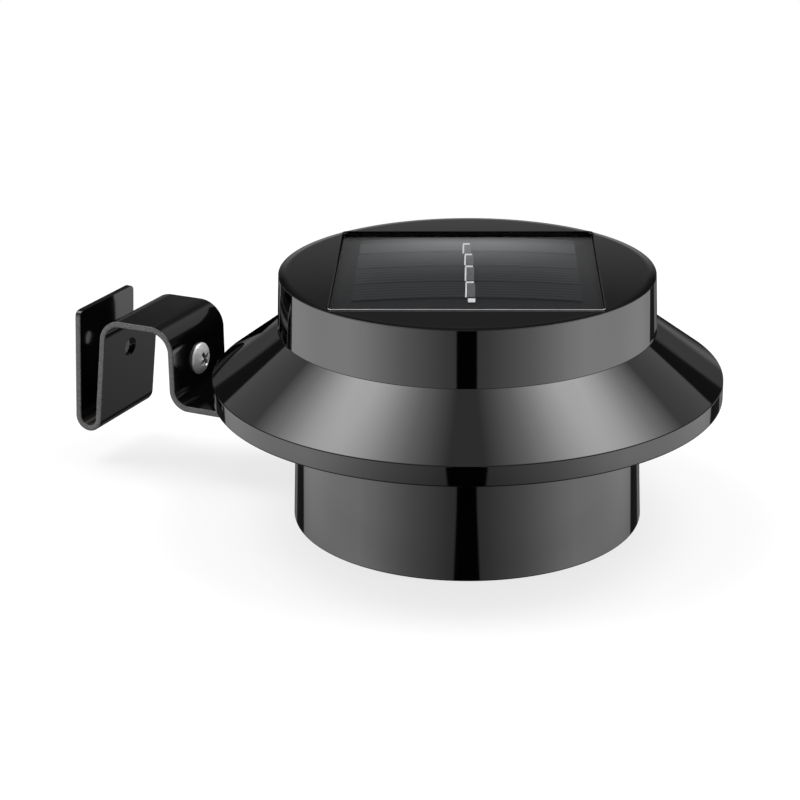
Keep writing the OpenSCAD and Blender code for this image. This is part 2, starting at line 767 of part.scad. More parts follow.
module battery_contacts() {
    color([0.78, 0.76, 0.7]) for (side = [-1, 1])
        translate([side * (cell_room_l - contact_t) / 2, -holder_y, 0]) union() {
            block(contact_t, contact_w, board_top_z + holder_wall, board_top_z + holder_wall + contact_h);
            block(contact_t, contact_w / 3, board_top_z, board_top_z + holder_wall + contact_t);
        }
}

// Wound spring: one unbroken tube that narrows from the contact plate to the battery's flat end
turn_rings = 8;
wire_sides = 6;
spring_x0 = -cell_room_l / 2 + contact_t + spring_wire_r;
spring_run = spring_l - 2 * spring_wire_r;
spring_rings = turn_rings * spring_turns;
function spring_radius(i) = spring_r1 + (spring_r2 - spring_r1) * i / spring_rings;
function spring_point(i) = let (a = 360 * i / turn_rings) [
    spring_x0 + spring_run * i / spring_rings,
    spring_radius(i) * cos(a) - holder_y,
    spring_radius(i) * sin(a) + cell_z];
function unit(v) = v / norm(v);
function wire_ring(i) = let (
    p = spring_point(i),
    along = unit(spring_point(i + 1 / turn_rings) - spring_point(i - 1 / turn_rings)),
    a = 360 * i / turn_rings,
    out = unit([0, cos(a), sin(a)] - ([0, cos(a), sin(a)] * along) * along),
    side = cross(along, out))
    [for (k = [0:wire_sides - 1]) let (b = 360 * k / wire_sides)
        p + spring_wire_r * (cos(b) * out + sin(b) * side)];

// Least gap of the wound wire to itself, measured from each ring to the rings half a turn or more away
spring_gap = min([for (i = [0:spring_rings], j = [0:spring_rings]) if (j - i >= turn_rings / 2)
    norm(spring_point(i) - spring_point(j)) - 2 * spring_wire_r]);
echo("battery spring, least gap to itself, mm", spring_gap);

module battery_spring() {
    rings = [for (i = [0:spring_rings]) each wire_ring(i)];
    last = spring_rings * wire_sides;
    color([0.8, 0.8, 0.8]) polyhedron(points = rings, convexity = 8, faces = concat(
        [[for (k = [0:wire_sides - 1]) wire_sides - 1 - k]],
        [[for (k = [0:wire_sides - 1]) last + k]],
        [for (i = [0:spring_rings - 1], k = [0:wire_sides - 1])
            let (a = i * wire_sides + k, b = i * wire_sides + (k + 1) % wire_sides)
                [a, b, b + wire_sides]],
        [for (i = [0:spring_rings - 1], k = [0:wire_sides - 1])
            let (a = i * wire_sides + k, b = i * wire_sides + (k + 1) % wire_sides)
                [a, b + wire_sides, a + wire_sides]]));
}

// SCREWS inside the lamp
module housing_screws() {
    color([0.6, 0.6, 0.62]) around(fix_angles, fix_pitch_r) union() {
        translate([0, 0, web_z]) mirror([0, 0, 1])
            screw_head(fix_head_r, fix_head_h, fix_head_h / 3, cross_w, fix_head_h / 2);
        rod(fix_r, web_z, web_z + fix_len, small_sides);
    }
}

module board_screws() {
    seats = [board_top_z, board_top_z + holder_wall, board_top_z + holder_wall];
    color([0.6, 0.6, 0.62]) for (i = [0:len(post_angles) - 1])
        around([post_angles[i]], post_pitch_r) union() {
            translate([0, 0, seats[i]])
                screw_head(board_head_r, board_head_h, board_head_h / 3, cross_w, board_head_h / 2);
            rod(board_screw_r, seats[i] - board_screw_len, seats[i], small_sides);
        }
}

// BRACKET: one strip, bent into tongue, front leg, saddle, leaning back leg, hook and back plate.
// Face 0 looks up and at the lamp, face 1 is the strip's other face.
function strip_face(face) = let (inner = face * strip_t, outer = strip_t - inner) concat(
    [[tongue_end_y, tongue_top_z - inner]],
    arc(tongue_bend, tongue_bend_r + inner, -90, 0, bend_steps),
    arc(front_bend, front_bend_r + outer, 180, 90, bend_steps),
    arc(back_bend, back_bend_r + outer, 90, leg_lean, bend_steps),
    arc(hook_c, hook_r + inner, 180 + leg_lean, 360 + plate_lean, 2 * bend_steps),
    [plate_end + inner * plate_out]);

function reversed(v) = [for (i = [1:len(v)]) v[len(v) - i]];

module bracket_profile() {
    polygon(concat(strip_face(0), reversed(strip_face(1))));
}

// What a rounded corner takes off the strip, for a corner that points to +X and +Y
module corner_waste() {
    difference() {
        translate([-strip_round, -strip_round]) square(strip_round + over);
        translate([-strip_round, -strip_round]) circle(r = strip_round, $fn = small_sides);
    }
}

module screw_hole(y_mid, reach) {
    translate([0, y_mid, strip_hole_z]) rotate([90, 0, 0])
        cylinder(r = strip_hole_r, h = reach, center = true, $fn = small_sides);
}

module bracket() {
    leg_at_hole = leg_top[0] + (leg_top[1] - strip_hole_z) * tan(leg_lean) - strip_t / cos(leg_lean);
    sink_r = strip_hole_r + strip_sink;
    color([0.05, 0.05, 0.055]) difference() {
        rotate([90, 0, 90]) linear_extrude(height = strip_w, center = true) bracket_profile();
        for (side = [0, 1]) mirror([side, 0, 0]) {
            translate([strip_w / 2, plate_end[0], plate_end[1]]) rotate([90 + plate_lean, 0, 0])
                translate([0, 0, -strip_t - over]) linear_extrude(height = strip_t + 2 * over)
                    corner_waste();
            translate([strip_w / 2, tongue_end_y, tongue_z - over]) mirror([0, 1, 0])
                linear_extrude(height = strip_t + 2 * over) corner_waste();
        }
        screw_hole(front_leg_y + strip_t / 2, strip_t + 2 * over);
        screw_hole(leg_at_hole + strip_t / 2, 3 * strip_t);
        translate([0, leg_at_hole - strip_sink / 2, strip_hole_z]) rotate([-90, 0, 0])
            cylinder(r1 = sink_r + strip_sink / 2, r2 = strip_hole_r, h = 3 / 2 * strip_sink,
                $fn = small_sides);
    }
}

// CLAMP SCREW: domed head on the front leg, shank through it into the saddle
module clamp_screw() {
    color([0.8, 0.8, 0.8]) translate([0, front_leg_y, strip_hole_z]) rotate([90, 0, 0]) union() {
        screw_head(clamp_head_r, clamp_head_h, clamp_edge_h, cross_w, cross_depth);
        rod(clamp_r, -clamp_len, 0, small_sides);
    }
}

upper_shell();
panel_carrier();
solar_cells();
cell_ribbons();
panel_window();
panel_lead_red();
panel_lead_black();
body_seal();
lower_housing();
lens();
reflector();
leds();
circuit_board();
driver_chip();
choke();
capacitor();
switch_body();
switch_slider();
battery_holder();
battery_cell();
battery_spring();
battery_contacts();
housing_screws();
board_screws();
bracket();
clamp_screw();
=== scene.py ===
import math

import bmesh
import bpy
from mathutils import Matrix, Vector


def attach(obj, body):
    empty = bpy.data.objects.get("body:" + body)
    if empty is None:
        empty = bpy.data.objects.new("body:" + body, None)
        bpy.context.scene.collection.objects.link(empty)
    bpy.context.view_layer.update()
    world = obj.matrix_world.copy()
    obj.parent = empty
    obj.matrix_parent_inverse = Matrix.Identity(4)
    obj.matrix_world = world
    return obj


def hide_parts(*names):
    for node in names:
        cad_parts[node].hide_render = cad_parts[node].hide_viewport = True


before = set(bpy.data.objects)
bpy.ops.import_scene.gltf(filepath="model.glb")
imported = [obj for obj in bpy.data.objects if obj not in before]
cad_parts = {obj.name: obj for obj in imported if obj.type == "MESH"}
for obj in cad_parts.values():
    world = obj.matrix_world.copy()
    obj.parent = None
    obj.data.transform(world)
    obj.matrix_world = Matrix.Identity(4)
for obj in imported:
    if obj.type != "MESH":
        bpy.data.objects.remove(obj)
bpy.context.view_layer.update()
mm = 0.001
past = 1.0      # how far a cutting tool reaches past a face


# shader maths
class Wire:
    # one socket of a node tree, with arithmetic

    def __init__(self, shade, socket):
        self.shade, self.socket = shade, socket

    def math(self, operation, other=0.0, swapped=False):
        pair = (other, self) if swapped else (self, other)
        return self.shade.node("Math", {"operation": operation}, dict(enumerate(pair)))

    def __add__(self, other):
        return self.math("ADD", other)

    def __sub__(self, other):
        return self.math("SUBTRACT", other)

    def __rsub__(self, other):
        return self.math("SUBTRACT", other, swapped=True)

    def __mul__(self, other):
        return self.math("MULTIPLY", other)

    def __truediv__(self, other):
        return self.math("DIVIDE", other)

    def __rtruediv__(self, other):
        return self.math("DIVIDE", other, swapped=True)

    def __abs__(self):
        return self.math("ABSOLUTE")

    __radd__ = __add__
    __rmul__ = __mul__

    def clamped(self, low, high):
        return self.math("MAXIMUM", low).math("MINIMUM", high)


def grey(tone):
    return (tone, tone, tone, 1)


class Shade:
    # a material, world or lamp tree, filled one node at a time

    def __init__(self, tree):
        self.tree = tree
        tree.nodes.clear()

    def pick(self, sockets, key):
        if isinstance(key, int):
            return sockets[key]
        for socket in sockets:
            if socket.identifier == key:
                return socket
        return sockets[key]

    def node(self, kind, settings=None, inputs=None, out=0):
        made = self.tree.nodes.new("ShaderNode" + kind)
        for key, value in (settings or {}).items():
            if key == "stops":
                self.setStops(made.color_ramp, value)
            else:
                setattr(made, key, value)
        for key, value in (inputs or {}).items():
            socket = self.pick(made.inputs, key)
            if isinstance(value, Wire):
                self.tree.links.new(value.socket, socket)
            else:
                socket.default_value = value
        return Wire(self, self.pick(made.outputs, out)) if made.outputs else made

    def setStops(self, ramp, stops):
        while len(ramp.elements) < len(stops):
            ramp.elements.new(1.0)
        for element, (place, tone) in zip(ramp.elements, stops):
            element.position = place
            element.color = grey(tone)

    # frequent nodes
    def place(self):
        return self.node("TexCoord", out="Object")

    def placeMm(self):
        # place on the object in millimetres
        return self.node("VectorMath", {"operation": "SCALE"}, {0: self.place(), "Scale": 1 / mm})

    def axes(self, vector):
        split = self.node("SeparateXYZ", {}, {0: vector})
        return [Wire(self, output) for output in split.socket.node.outputs]

    def noise(self, vector, scale, detail=3.0, rough=0.5):
        return self.node("TexNoise", {}, {
            "Vector": vector, "Scale": scale, "Detail": detail, "Roughness": rough})

    def smooth(self, value, low, high):
        # softly from 0 at low to 1 at high
        return self.node("MapRange", {"interpolation_type": "SMOOTHSTEP"}, {
            "Value": value, "From Min": low, "From Max": high, "To Min": 0.0, "To Max": 1.0})

    def fade(self, value, low, high):
        # softly from 1 at low to 0 at high
        return 1.0 - self.smooth(value, low, high)

    def band(self, value, rise, fall):
        # 1 between the two soft edges, 0 outside
        return self.smooth(value, *rise) * self.fade(value, *fall)

    def ramp(self, value, stops, peak=1.0):
        # stops are (place, tone) in the value's own units, with tones up to the peak
        first, last = stops[0][0], stops[-1][0]
        placed = [((place - first) / (last - first), tone / peak) for place, tone in stops]
        return self.node("ValToRGB", {"stops": placed}, {0: (value - first) / (last - first)}) * peak

    def blend(self, factor, first, second):
        return self.node("Mix", {"data_type": "RGBA"}, {
            "Factor_Float": factor, "A_Color": first, "B_Color": second}, out="Result_Color")

    def bump(self, height, strength, distance):
        return self.node("Bump", {}, {"Height": height, "Strength": strength, "Distance": distance})


def newMaterial(name):
    material = bpy.data.materials.new(name)
    material.use_nodes = True
    return material, Shade(material.node_tree)


def surface(shade, shader):
    shade.node("OutputMaterial", {}, {"Surface": shader})


def principled(material, shade, **inputs):
    # the finished material; underscores stand for the spaces in the sockets' names
    named = {key.replace("_", " "): value for key, value in inputs.items()}
    surface(shade, shade.node("BsdfPrincipled", {}, named))
    return material


# mesh helpers
def arcPoints(centre, radius, start, end, steps):
    turned = [math.radians(start + (end - start) * i / steps) for i in range(steps + 1)]
    return [(centre[0] + radius * math.cos(a), centre[1] + radius * math.sin(a)) for a in turned]


def roundedBox(halfX, halfY, rounding, perCorner, atX=0.0):
    # a rectangle with round corners, anticlockwise from its right side
    points = []
    for corner, (sx, sy) in enumerate(((1, 1), (-1, 1), (-1, -1), (1, -1))):
        centre = (atX + sx * (halfX - rounding), sy * (halfY - rounding))
        points += arcPoints(centre, rounding, 90 * corner, 90 * corner + 90, perCorner)
    return points


def around(pitch, angles):
    # places on a circle about the lamp's axis
    return [(pitch * math.cos(a), pitch * math.sin(a), 0) for a in map(math.radians, angles)]


def filleted(corners, closed, perArc):
    # corners are (x, y, rounding); the ends of an open path stay where they are
    path = []
    count = len(corners)
    for i, (x, y, rounding) in enumerate(corners):
        if (not closed and i in (0, count - 1)) or rounding == 0:
            path.append((x, y))
            continue
        here = Vector((x, y))
        back = (Vector(corners[i - 1][:2]) - here).normalized()
        ahead = (Vector(corners[(i + 1) % count][:2]) - here).normalized()
        half = math.acos(max(-1.0, min(1.0, back.dot(ahead)))) / 2
        reach = rounding / math.tan(half)
        centre = here + (back + ahead).normalized() * (rounding / math.sin(half))
        first, last = here + back * reach - centre, here + ahead * reach - centre
        sweep = math.pi - 2 * half
        turn = math.copysign(sweep, first.x * last.y - first.y * last.x)
        for step in range(perArc + 1):
            a = turn * step / perArc
            path.append((centre.x + first.x * math.cos(a) - first.y * math.sin(a),
                         centre.y + first.x * math.sin(a) + first.y * math.cos(a)))
    return path


def latheRings(profile, segments):
    rings = []
    for r, z in profile:
        turned = [2 * math.pi * k / segments for k in range(segments)]
        rings.append([(r * math.cos(a), r * math.sin(a), z) for a in turned])
    return rings


def joinRings(mesh, rings, closed=False, capFirst=False, capLast=False):
    # adds rings of equal count to a bmesh and returns their vertices
    made = [[mesh.verts.new([value * mm for value in point]) for point in ring] for ring in rings]
    count = len(made[0])
    pairs = list(zip(made, made[1:])) + ([(made[-1], made[0])] if closed else [])
    for low, high in pairs:
        for k in range(count):
            n = (k + 1) % count
            mesh.faces.new((low[k], low[n], high[n], high[k]))
    if capFirst:
        mesh.faces.new(reversed(made[0]))
    if capLast:
        mesh.faces.new(made[-1])
    return made


def capToCentre(mesh, ring, centre):
    middle = mesh.verts.new([value * mm for value in centre])
    for k in range(len(ring)):
        mesh.faces.new((ring[k], ring[(k + 1) % len(ring)], middle))


def toObject(name, mesh):
    bmesh.ops.recalc_face_normals(mesh, faces=mesh.faces)
    data = bpy.data.meshes.new(name)
    mesh.to_mesh(data)
    mesh.free()
    obj = bpy.data.objects.new(name, data)
    bpy.context.scene.collection.objects.link(obj)
    return obj


def ringSolid(name, rings):
    # a closed solid through rings of equal count
    mesh = bmesh.new()
    joinRings(mesh, rings, capFirst=True, capLast=True)
    return toObject(name, mesh)


def turnedTool(profile, place, segments=48):
    # a turned solid about an upright axis, capped at both ends
    mesh = bmesh.new()
    joinRings(mesh, latheRings(profile, segments), capFirst=True, capLast=True)
    bmesh.ops.translate(mesh, verts=mesh.verts, vec=[value * mm for value in place])
    return toObject("tool", mesh)


def roundTool(radius, low, high, place, segments=48):
    return turnedTool([(radius, low), (radius, high)], place, segments)


def prismTool(outline, low, high):
    return ringSolid("tool", [[(x, y, z) for x, y in outline] for z in (low, high)])


def blockTool(low, high):
    corners = [(low[0], low[1]), (high[0], low[1]), (high[0], high[1]), (low[0], high[1])]
    return prismTool(corners, low[2], high[2])


def carve(obj, tool, operation="DIFFERENCE"):
    step = obj.modifiers.new("carve", "BOOLEAN")
    step.operation, step.solver, step.object = operation, "EXACT", tool
    graph = bpy.context.evaluated_depsgraph_get()
    result = bpy.data.meshes.new_from_object(obj.evaluated_get(graph))
    obj.modifiers.remove(step)
    obj.data = result
    bpy.data.objects.remove(tool)


def polish(obj, angle=35):
    # smooth shading with crisp edges; big faces keep their own direction
    obj.data.polygons.foreach_set("use_smooth", [True] * len(obj.data.polygons))
    obj.data.set_sharp_from_angle(angle=math.radians(angle))
    weighted = obj.modifiers.new("weighted", "WEIGHTED_NORMAL")
    weighted.keep_sharp = True
    weighted.weight = 100


def dress(obj, body, materials, node):
    # the piece takes the place of a CAD node, with its material indices kept
    obj.data.name = obj.name
    chosen = [polygon.material_index for polygon in obj.data.polygons]
    obj.data.materials.clear()
    for material in materials:
        obj.data.materials.append(material)
    obj.data.polygons.foreach_set("material_index", chosen)
    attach(obj, body)
    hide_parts(node)


def tube(name, points, radius, sides):
    # an unbroken round tube along points, its section carried along without twist
    count = len(points)
    tangents = [(points[min(i + 1, count - 1)] - points[max(i - 1, 0)]).normalized()
                for i in range(count)]
    side = tangents[0].orthogonal().normalized()
    rings = []
    for point, tangent in zip(points, tangents):
        side = (side - tangent * side.dot(tangent)).normalized()
        other = tangent.cross(side)
        rings.append([point + (side * math.cos(a) + other * math.sin(a)) * radius
                      for a in (2 * math.pi * k / sides for k in range(sides))])
    return ringSolid(name, rings)


# camera, at the photograph's angle
camera = {
    "place": (-0.4502, -0.2026, 0.2136), "turn": -63.93, "tip": 90 - 20.61, "roll": -0.604,
    "lens": 100.0, "sensor": 36.0,
}
lensData = bpy.data.cameras.new("camera")
lensData.lens, lensData.sensor_width = camera["lens"], camera["sensor"]
cameraObject = bpy.data.objects.new("camera", lensData)
bpy.context.scene.collection.objects.link(cameraObject)
cameraObject.matrix_world = (
    Matrix.Translation(camera["place"]) @ Matrix.Rotation(math.radians(camera["turn"]), 4, "Z")
    @ Matrix.Rotation(math.radians(camera["tip"]), 4, "X")
    @ Matrix.Rotation(math.radians(camera["roll"]), 4, "Z"))
bpy.context.scene.camera = cameraObject
print("camera placed")

# solar panel's own directions and looks
panel = {
    "turn": -66.0, "cellDeep": 11.6, "cellGap": 0.4, "fingers": 6, "middle": 5.466,
    # the sheen ranges hold a painted sheen for the cells' reflection; the back ranges hold painted shade
    # below the recess's back wall
    "fingerShift": 0.2, "fingerEdge": (0.2, 0.34), "paintedSheenAcross": (4.0, 26.0),
    "paintedShadeBack": (24.0, 29.0), "coverBackShade": (24.0, 29.5),
    # how much painted sheen, standing in for the cells' reflection, counted in cells from the front edge
    # of the front cell
    "paintedSheen": ((0.0, 0.0), (1.0, 0.02), (2.0, 0.13), (2.92, 0.3), (3.2, 0.65), (4.0, 0.95)),
}


def panelTurned(points):
    c, n = math.cos(math.radians(panel["turn"])), math.sin(math.radians(panel["turn"]))
    return [(x * c - y * n, x * n + y * c, z) for x, y, z in points]


def panelPlace(s):
    # millimetres in the panel's own directions, whole and split
    turned = s.node("VectorRotate", {"rotation_type": "Z_AXIS"}, {
        "Vector": s.placeMm(), "Angle": -math.radians(panel["turn"])})
    return turned, s.axes(turned)


# finishes
finish = {}


def addFinish(name, maker, **look):
    finish[name] = maker(name, **look)


def glossPlastic(name, tone, roughness, spread):
    material, s = newMaterial(name)
    place = s.placeMm()
    cloudy = s.noise(place, scale=0.05, detail=4.0)
    fine = s.noise(place, scale=1.6, detail=2.0)
    colour = s.blend(cloudy, grey(tone * 0.8), (tone * 1.2, tone * 1.2, tone * 1.35, 1))
    return principled(
        material, s, Base_Color=colour, Roughness=roughness + spread * cloudy, IOR=1.5,
        Normal=s.bump(fine, strength=0.02, distance=0.00002))


def brightMetal(name, tone, roughness, spread, grain=1.4, strength=0.05):
    material, s = newMaterial(name)
    place = s.placeMm()
    marks = s.noise(place, scale=grain, detail=4.0, rough=0.6)
    stain = s.noise(place, scale=grain * 0.2, detail=3.0)
    dark = tuple(value * 0.82 for value in tone)
    return principled(
        material, s, Base_Color=s.blend(stain, (*dark, 1), (*tone, 1)), Metallic=1.0,
        Roughness=roughness + spread * marks,
        Normal=s.bump(marks, strength=strength, distance=0.00003))


def plainPlastic(name, tone, roughness, grain=1.5, bump=0.08, shift=0.15, gloss=0.5):
    material, s = newMaterial(name)
    place = s.placeMm()
    cloudy = s.noise(place, scale=grain * 0.15, detail=4.0)
    fine = s.noise(place, scale=grain, detail=3.0)
    low = tuple(value * (1 - shift) for value in tone)
    high = tuple(min(1.0, value * (1 + shift)) for value in tone)
    return principled(
        material, s, Base_Color=s.blend(cloudy, (*low, 1), (*high, 1)), Specular_IOR_Level=gloss,
        Roughness=roughness + 0.12 * (cloudy - 0.5),
        Normal=s.bump(fine, strength=bump, distance=0.00005))


def siliconCells(name):
    # dark cells with fine fingers, lighter towards the back and the middle by a painted sheen that stands
    # in for their reflection, and darker at the back edge by painted shade below the recess's back wall
    material, s = newMaterial(name)
    place, sides = panelPlace(s)
    x, y = sides[:2]
    step = panel["cellDeep"] + panel["cellGap"]
    pitch = panel["cellDeep"] / panel["fingers"]
    along = (y - panel["middle"] + 2 * step) / step     # 0 at the front edge of the front cell
    within = along.math("FRACT") * step
    wave = abs((within / pitch + panel["fingerShift"]).math("FRACT") - 0.5)
    finger = s.smooth(wave, *panel["fingerEdge"])
    grain = s.noise(place, scale=0.8, detail=3.0)
    speck = s.noise(place, scale=3.0, detail=2.0)
    base = s.blend(grain, (0.004, 0.0045, 0.006, 1), (0.006, 0.0065, 0.0085, 1))
    # lighter across the middle: part of the painted sheen
    inner = s.fade(abs(x), *panel["paintedSheenAcross"]) * 0.55 + 0.45
    # painted sheen standing in for reflection, faded out at the back by painted shade
    paintedSheen = s.ramp(along, panel["paintedSheen"]) * inner * s.fade(y, *panel["paintedShadeBack"])
    baseWithPaintedSheen = s.blend(paintedSheen, base, (0.15, 0.152, 0.158, 1))
    return principled(
        material, s, Base_Color=s.blend(finger * 0.4, baseWithPaintedSheen, grey(0.055)), Roughness=0.42 + 0.12 * speck,
        Specular_IOR_Level=0.12, Normal=s.bump(finger, strength=0.3, distance=0.00004))


def clearCover(name, base, rough, tint, power=1.0, back=None):
    # see-through with a mirror share that grows towards grazing, and none at the back, where the fade
    # paints shade below the recess's back wall
    material, s = newMaterial(name)
    cloudy = s.noise(s.placeMm(), scale=0.15, detail=3.0)
    grazing = s.node("Fresnel", {}, {"IOR": 1.47})
    gloss = s.node("BsdfGlossy", {}, {"Color": grey(1), "Roughness": rough})
    clear = s.node("BsdfTransparent", {}, {"Color": (*tint, 1)})
    outside = 1.0 - s.node("NewGeometry", out="Backfacing")
    share = outside * (base + power * grazing * (0.9 + 0.2 * cloudy))
    if back:
        # painted shade: no mirror share towards the back of the panel
        y = panelPlace(s)[1][1]
        share = share * s.fade(y, *back)
    surface(s, s.node("MixShader", {}, {0: share, 1: clear, 2: gloss}))
    return material


def circuitGreen(name):
    material, s = newMaterial(name)
    place = s.placeMm()
    tracks = s.node("TexVoronoi", {"feature": "DISTANCE_TO_EDGE", "distance": "MANHATTAN"}, {
        "Vector": place, "Scale": 0.22})
    line = s.fade(tracks, 0.05, 0.09)
    weave = s.noise(place, scale=1.8, detail=3.0)
    colour = s.blend(line, (0.015, 0.13, 0.05, 1), (0.03, 0.24, 0.10, 1))
    return principled(
        material, s, Base_Color=colour, Roughness=0.3 + 0.1 * weave,
        Normal=s.bump(line, strength=0.15, distance=0.00004))


def woundCopper(name, turnsPerMm):
    material, s = newMaterial(name)
    place = s.placeMm()
    z = s.axes(place)[2]
    turns = (z * turnsPerMm).math("SINE")
    stain = s.noise(place, scale=0.9, detail=3.0)
    colour = s.blend(stain, (0.42, 0.17, 0.06, 1), (0.68, 0.32, 0.14, 1))
    return principled(
        material, s, Base_Color=colour, Metallic=0.8, Roughness=0.3 + 0.1 * stain,
        Normal=s.bump(turns, strength=0.5, distance=0.0001))


def resinDome(name, clearUpTo, yellowFrom):
    material, s = newMaterial(name)
    place = s.placeMm()
    deep = s.smooth(s.axes(place)[2], clearUpTo, yellowFrom)
    cloudy = s.noise(place, scale=0.9, detail=3.0)
    colour = s.blend(deep, (0.93, 0.92, 0.86, 1), (0.92, 0.80, 0.32, 1))
    return principled(
        material, s, Base_Color=colour, Roughness=0.06 + 0.06 * cloudy, Coat_Weight=0.6)


def shrunkSleeve(name, tone, band, axis, low, high):
    # a shrunk sleeve with plain rings at both ends
    material, s = newMaterial(name)
    place = s.placeMm()
    along = s.axes(place)[axis]
    soft = 0.2
    cloudy = s.noise(place, scale=0.2, detail=4.0)
    ends = s.fade(along, low, low + soft) + s.smooth(along, high, high + soft)
    colour = s.blend(ends, (*tone, 1), (*band, 1))
    return principled(
        material, s, Base_Color=colour, Roughness=0.22 + 0.12 * cloudy,
        Normal=s.bump(cloudy, strength=0.06, distance=0.0001))


addFinish("hoodPlastic", glossPlastic, tone=0.0016, roughness=0.028, spread=0.03)
addFinish("housingPlastic", glossPlastic, tone=0.0018, roughness=0.035, spread=0.03)
addFinish("carrierBoard", plainPlastic, tone=(0.007, 0.007, 0.008), roughness=0.45, gloss=0.1)
addFinish("siliconCells", siliconCells)
addFinish("panelCover", clearCover, base=0.0, rough=0.1, tint=(0.93, 0.94, 0.95),
          back=panel["coverBackShade"])
addFinish("groundEdge", plainPlastic, tone=(0.02, 0.02, 0.021), roughness=0.3)
addFinish("tinnedRibbon", plainPlastic, tone=(0.78, 0.77, 0.74), roughness=0.35, grain=2.5, bump=0.3)
addFinish("busPad", plainPlastic, tone=(0.11, 0.11, 0.108), roughness=0.4, grain=8.0, bump=0.3,
          shift=0.7)
addFinish("redLead", plainPlastic, tone=(0.5, 0.03, 0.02), roughness=0.4)
addFinish("blackLead", plainPlastic, tone=(0.02, 0.02, 0.02), roughness=0.4)
addFinish("sealRubber", plainPlastic, tone=(0.05, 0.05, 0.05), roughness=0.7, grain=2.0, bump=0.2)
addFinish("clearLens", clearCover, base=0.03, rough=0.08, tint=(0.95, 0.96, 0.97), power=0.9)
addFinish("reflectorChrome", brightMetal, tone=(0.86, 0.86, 0.88), roughness=0.06, spread=0.08,
          grain=0.8, strength=0.04)
addFinish("resinDome", resinDome, clearUpTo=6.2, yellowFrom=9.4)
addFinish("circuitGreen", circuitGreen)
addFinish("chipBlack", plainPlastic, tone=(0.02, 0.02, 0.022), roughness=0.5)
addFinish("woundCopper", woundCopper, turnsPerMm=18.0)
addFinish("capacitorSleeve", shrunkSleeve, tone=(0.02, 0.03, 0.07), band=(0.6, 0.6, 0.62), axis=2,
          low=0.0, high=18.0)
addFinish("switchSteel", brightMetal, tone=(0.62, 0.62, 0.64), roughness=0.28, spread=0.15)
addFinish("switchPlastic", plainPlastic, tone=(0.03, 0.03, 0.03), roughness=0.45)
addFinish("holderPlastic", plainPlastic, tone=(0.025, 0.025, 0.028), roughness=0.5)
addFinish("batterySleeve", shrunkSleeve, tone=(0.05, 0.2, 0.09), band=(0.62, 0.62, 0.6), axis=0,
          low=-21.4, high=24.6)
addFinish("springSteel", brightMetal, tone=(0.72, 0.72, 0.74), roughness=0.2, spread=0.15)
addFinish("contactPlate", brightMetal, tone=(0.74, 0.71, 0.62), roughness=0.25, spread=0.15)
addFinish("screwZinc", brightMetal, tone=(0.62, 0.62, 0.65), roughness=0.22, spread=0.16)
print("finishes made:", len(finish))

# hood
hood = {
    "rimRadius": 59.98, "rimLow": 30.6, "rimHigh": 35.4, "coneTop": 47.0, "capBase": 44.3,
    "capTop": 43.8, "top": 60.6, "capRound": 0.12, "capSoft": 2.0, "capFall": 14.0,
    "footRound": 0.18, "rimRound": 0.4, "stepRound": 0.1, "ceilingRound": 0.3, "wall": 2.0,
    "sleeve": 42.3, "shoulder": 48.4, "core": 39.3, "ceiling": 55.8, "ceilingIn": 10.0,
    "recess": 57.4, "recessHalf": 30.416, "recessRound": 1.0, "floorRound": 0.3, "lipWide": 0.3,
    "lipHigh": 0.25, "lipSteps": 12, "lipShape": 1.3, "lipRings": 11,
    "lipInside": ((0.02, 0.06), (0.0, 0.2)),        # outwards, and down from the flat top
    "lipLit": ((-30.3, -29.7), (60.44, 60.5)),      # where the painted highlight line lies, across and up
    "bossRadius": 3.6, "bossLow": 24.2, "bossPitch": 33.59, "bossAngles": (30, 150, 270),
    "bossHole": 1.55, "bossDeep": 12.0, "leadHole": (0.0, 12.0, 2.6), "segments": 256,
}


def recessLip(name):
    # a painted highlight line along the front of the recess, black along its other sides
    material, s = newMaterial(name)
    place, sides = panelPlace(s)
    y, z = sides[1:]
    across, up = hood["lipLit"]
    # painted highlight: only along the front edge of the recess and its top
    front = s.fade(y, *across) * s.smooth(z, *up)
    mottle = s.noise(place, scale=1.1, detail=3.0)
    tone = front * (0.75 + 0.5 * mottle)
    return principled(
        material, s, Base_Color=s.blend(tone, (0.002, 0.002, 0.0022, 1), grey(0.6)),
        Roughness=0.12 + 0.2 * front)


def recessRing(grow, z):
    # the rounded square of the recess, grown outwards, turned with the panel
    half = hood["recessHalf"] + grow
    outline = roundedBox(half, half, hood["recessRound"] + grow, 10)
    return panelTurned([(x, y, z) for x, y in outline])


def hoodProfile(flat):
    # from the top's edge down the outside, round the rim and up the inside
    size = hood
    slope = (size["coneTop"] - size["rimHigh"]) / (size["rimRadius"] - size["capBase"])
    drop = size["wall"] * math.hypot(1, slope)
    innerRim = size["rimRadius"] - size["wall"]
    fall = math.radians(size["capFall"])
    bend = size["capSoft"] / math.sin(fall)
    soft = [(size["capTop"] - size["capSoft"] + bend * math.sin(a), flat - bend * (1 - math.cos(a)), 0)
            for a in (fall * i / 8 for i in range(8))]

    def underCone(radius):
        return size["rimHigh"] + (size["rimRadius"] - radius) * slope - drop

    corners = soft + [
        (size["capTop"], flat - bend * (1 - math.cos(fall)), size["capRound"]),
        (size["capBase"], size["coneTop"], size["footRound"]),
        (size["rimRadius"], size["rimHigh"], size["rimRound"]),
        (size["rimRadius"], size["rimLow"], size["rimRound"]),
        (innerRim, size["rimLow"], size["rimRound"]),
        (innerRim, underCone(innerRim), size["rimRound"]),
        (size["sleeve"], underCone(size["sleeve"]), size["rimRound"]),
        (size["sleeve"], size["shoulder"], size["stepRound"]),
        (size["core"], size["shoulder"], size["stepRound"]),
        (size["core"], size["ceiling"], size["ceilingRound"]), (size["ceilingIn"], size["ceiling"], 0)]
    return filleted(corners, False, 8)


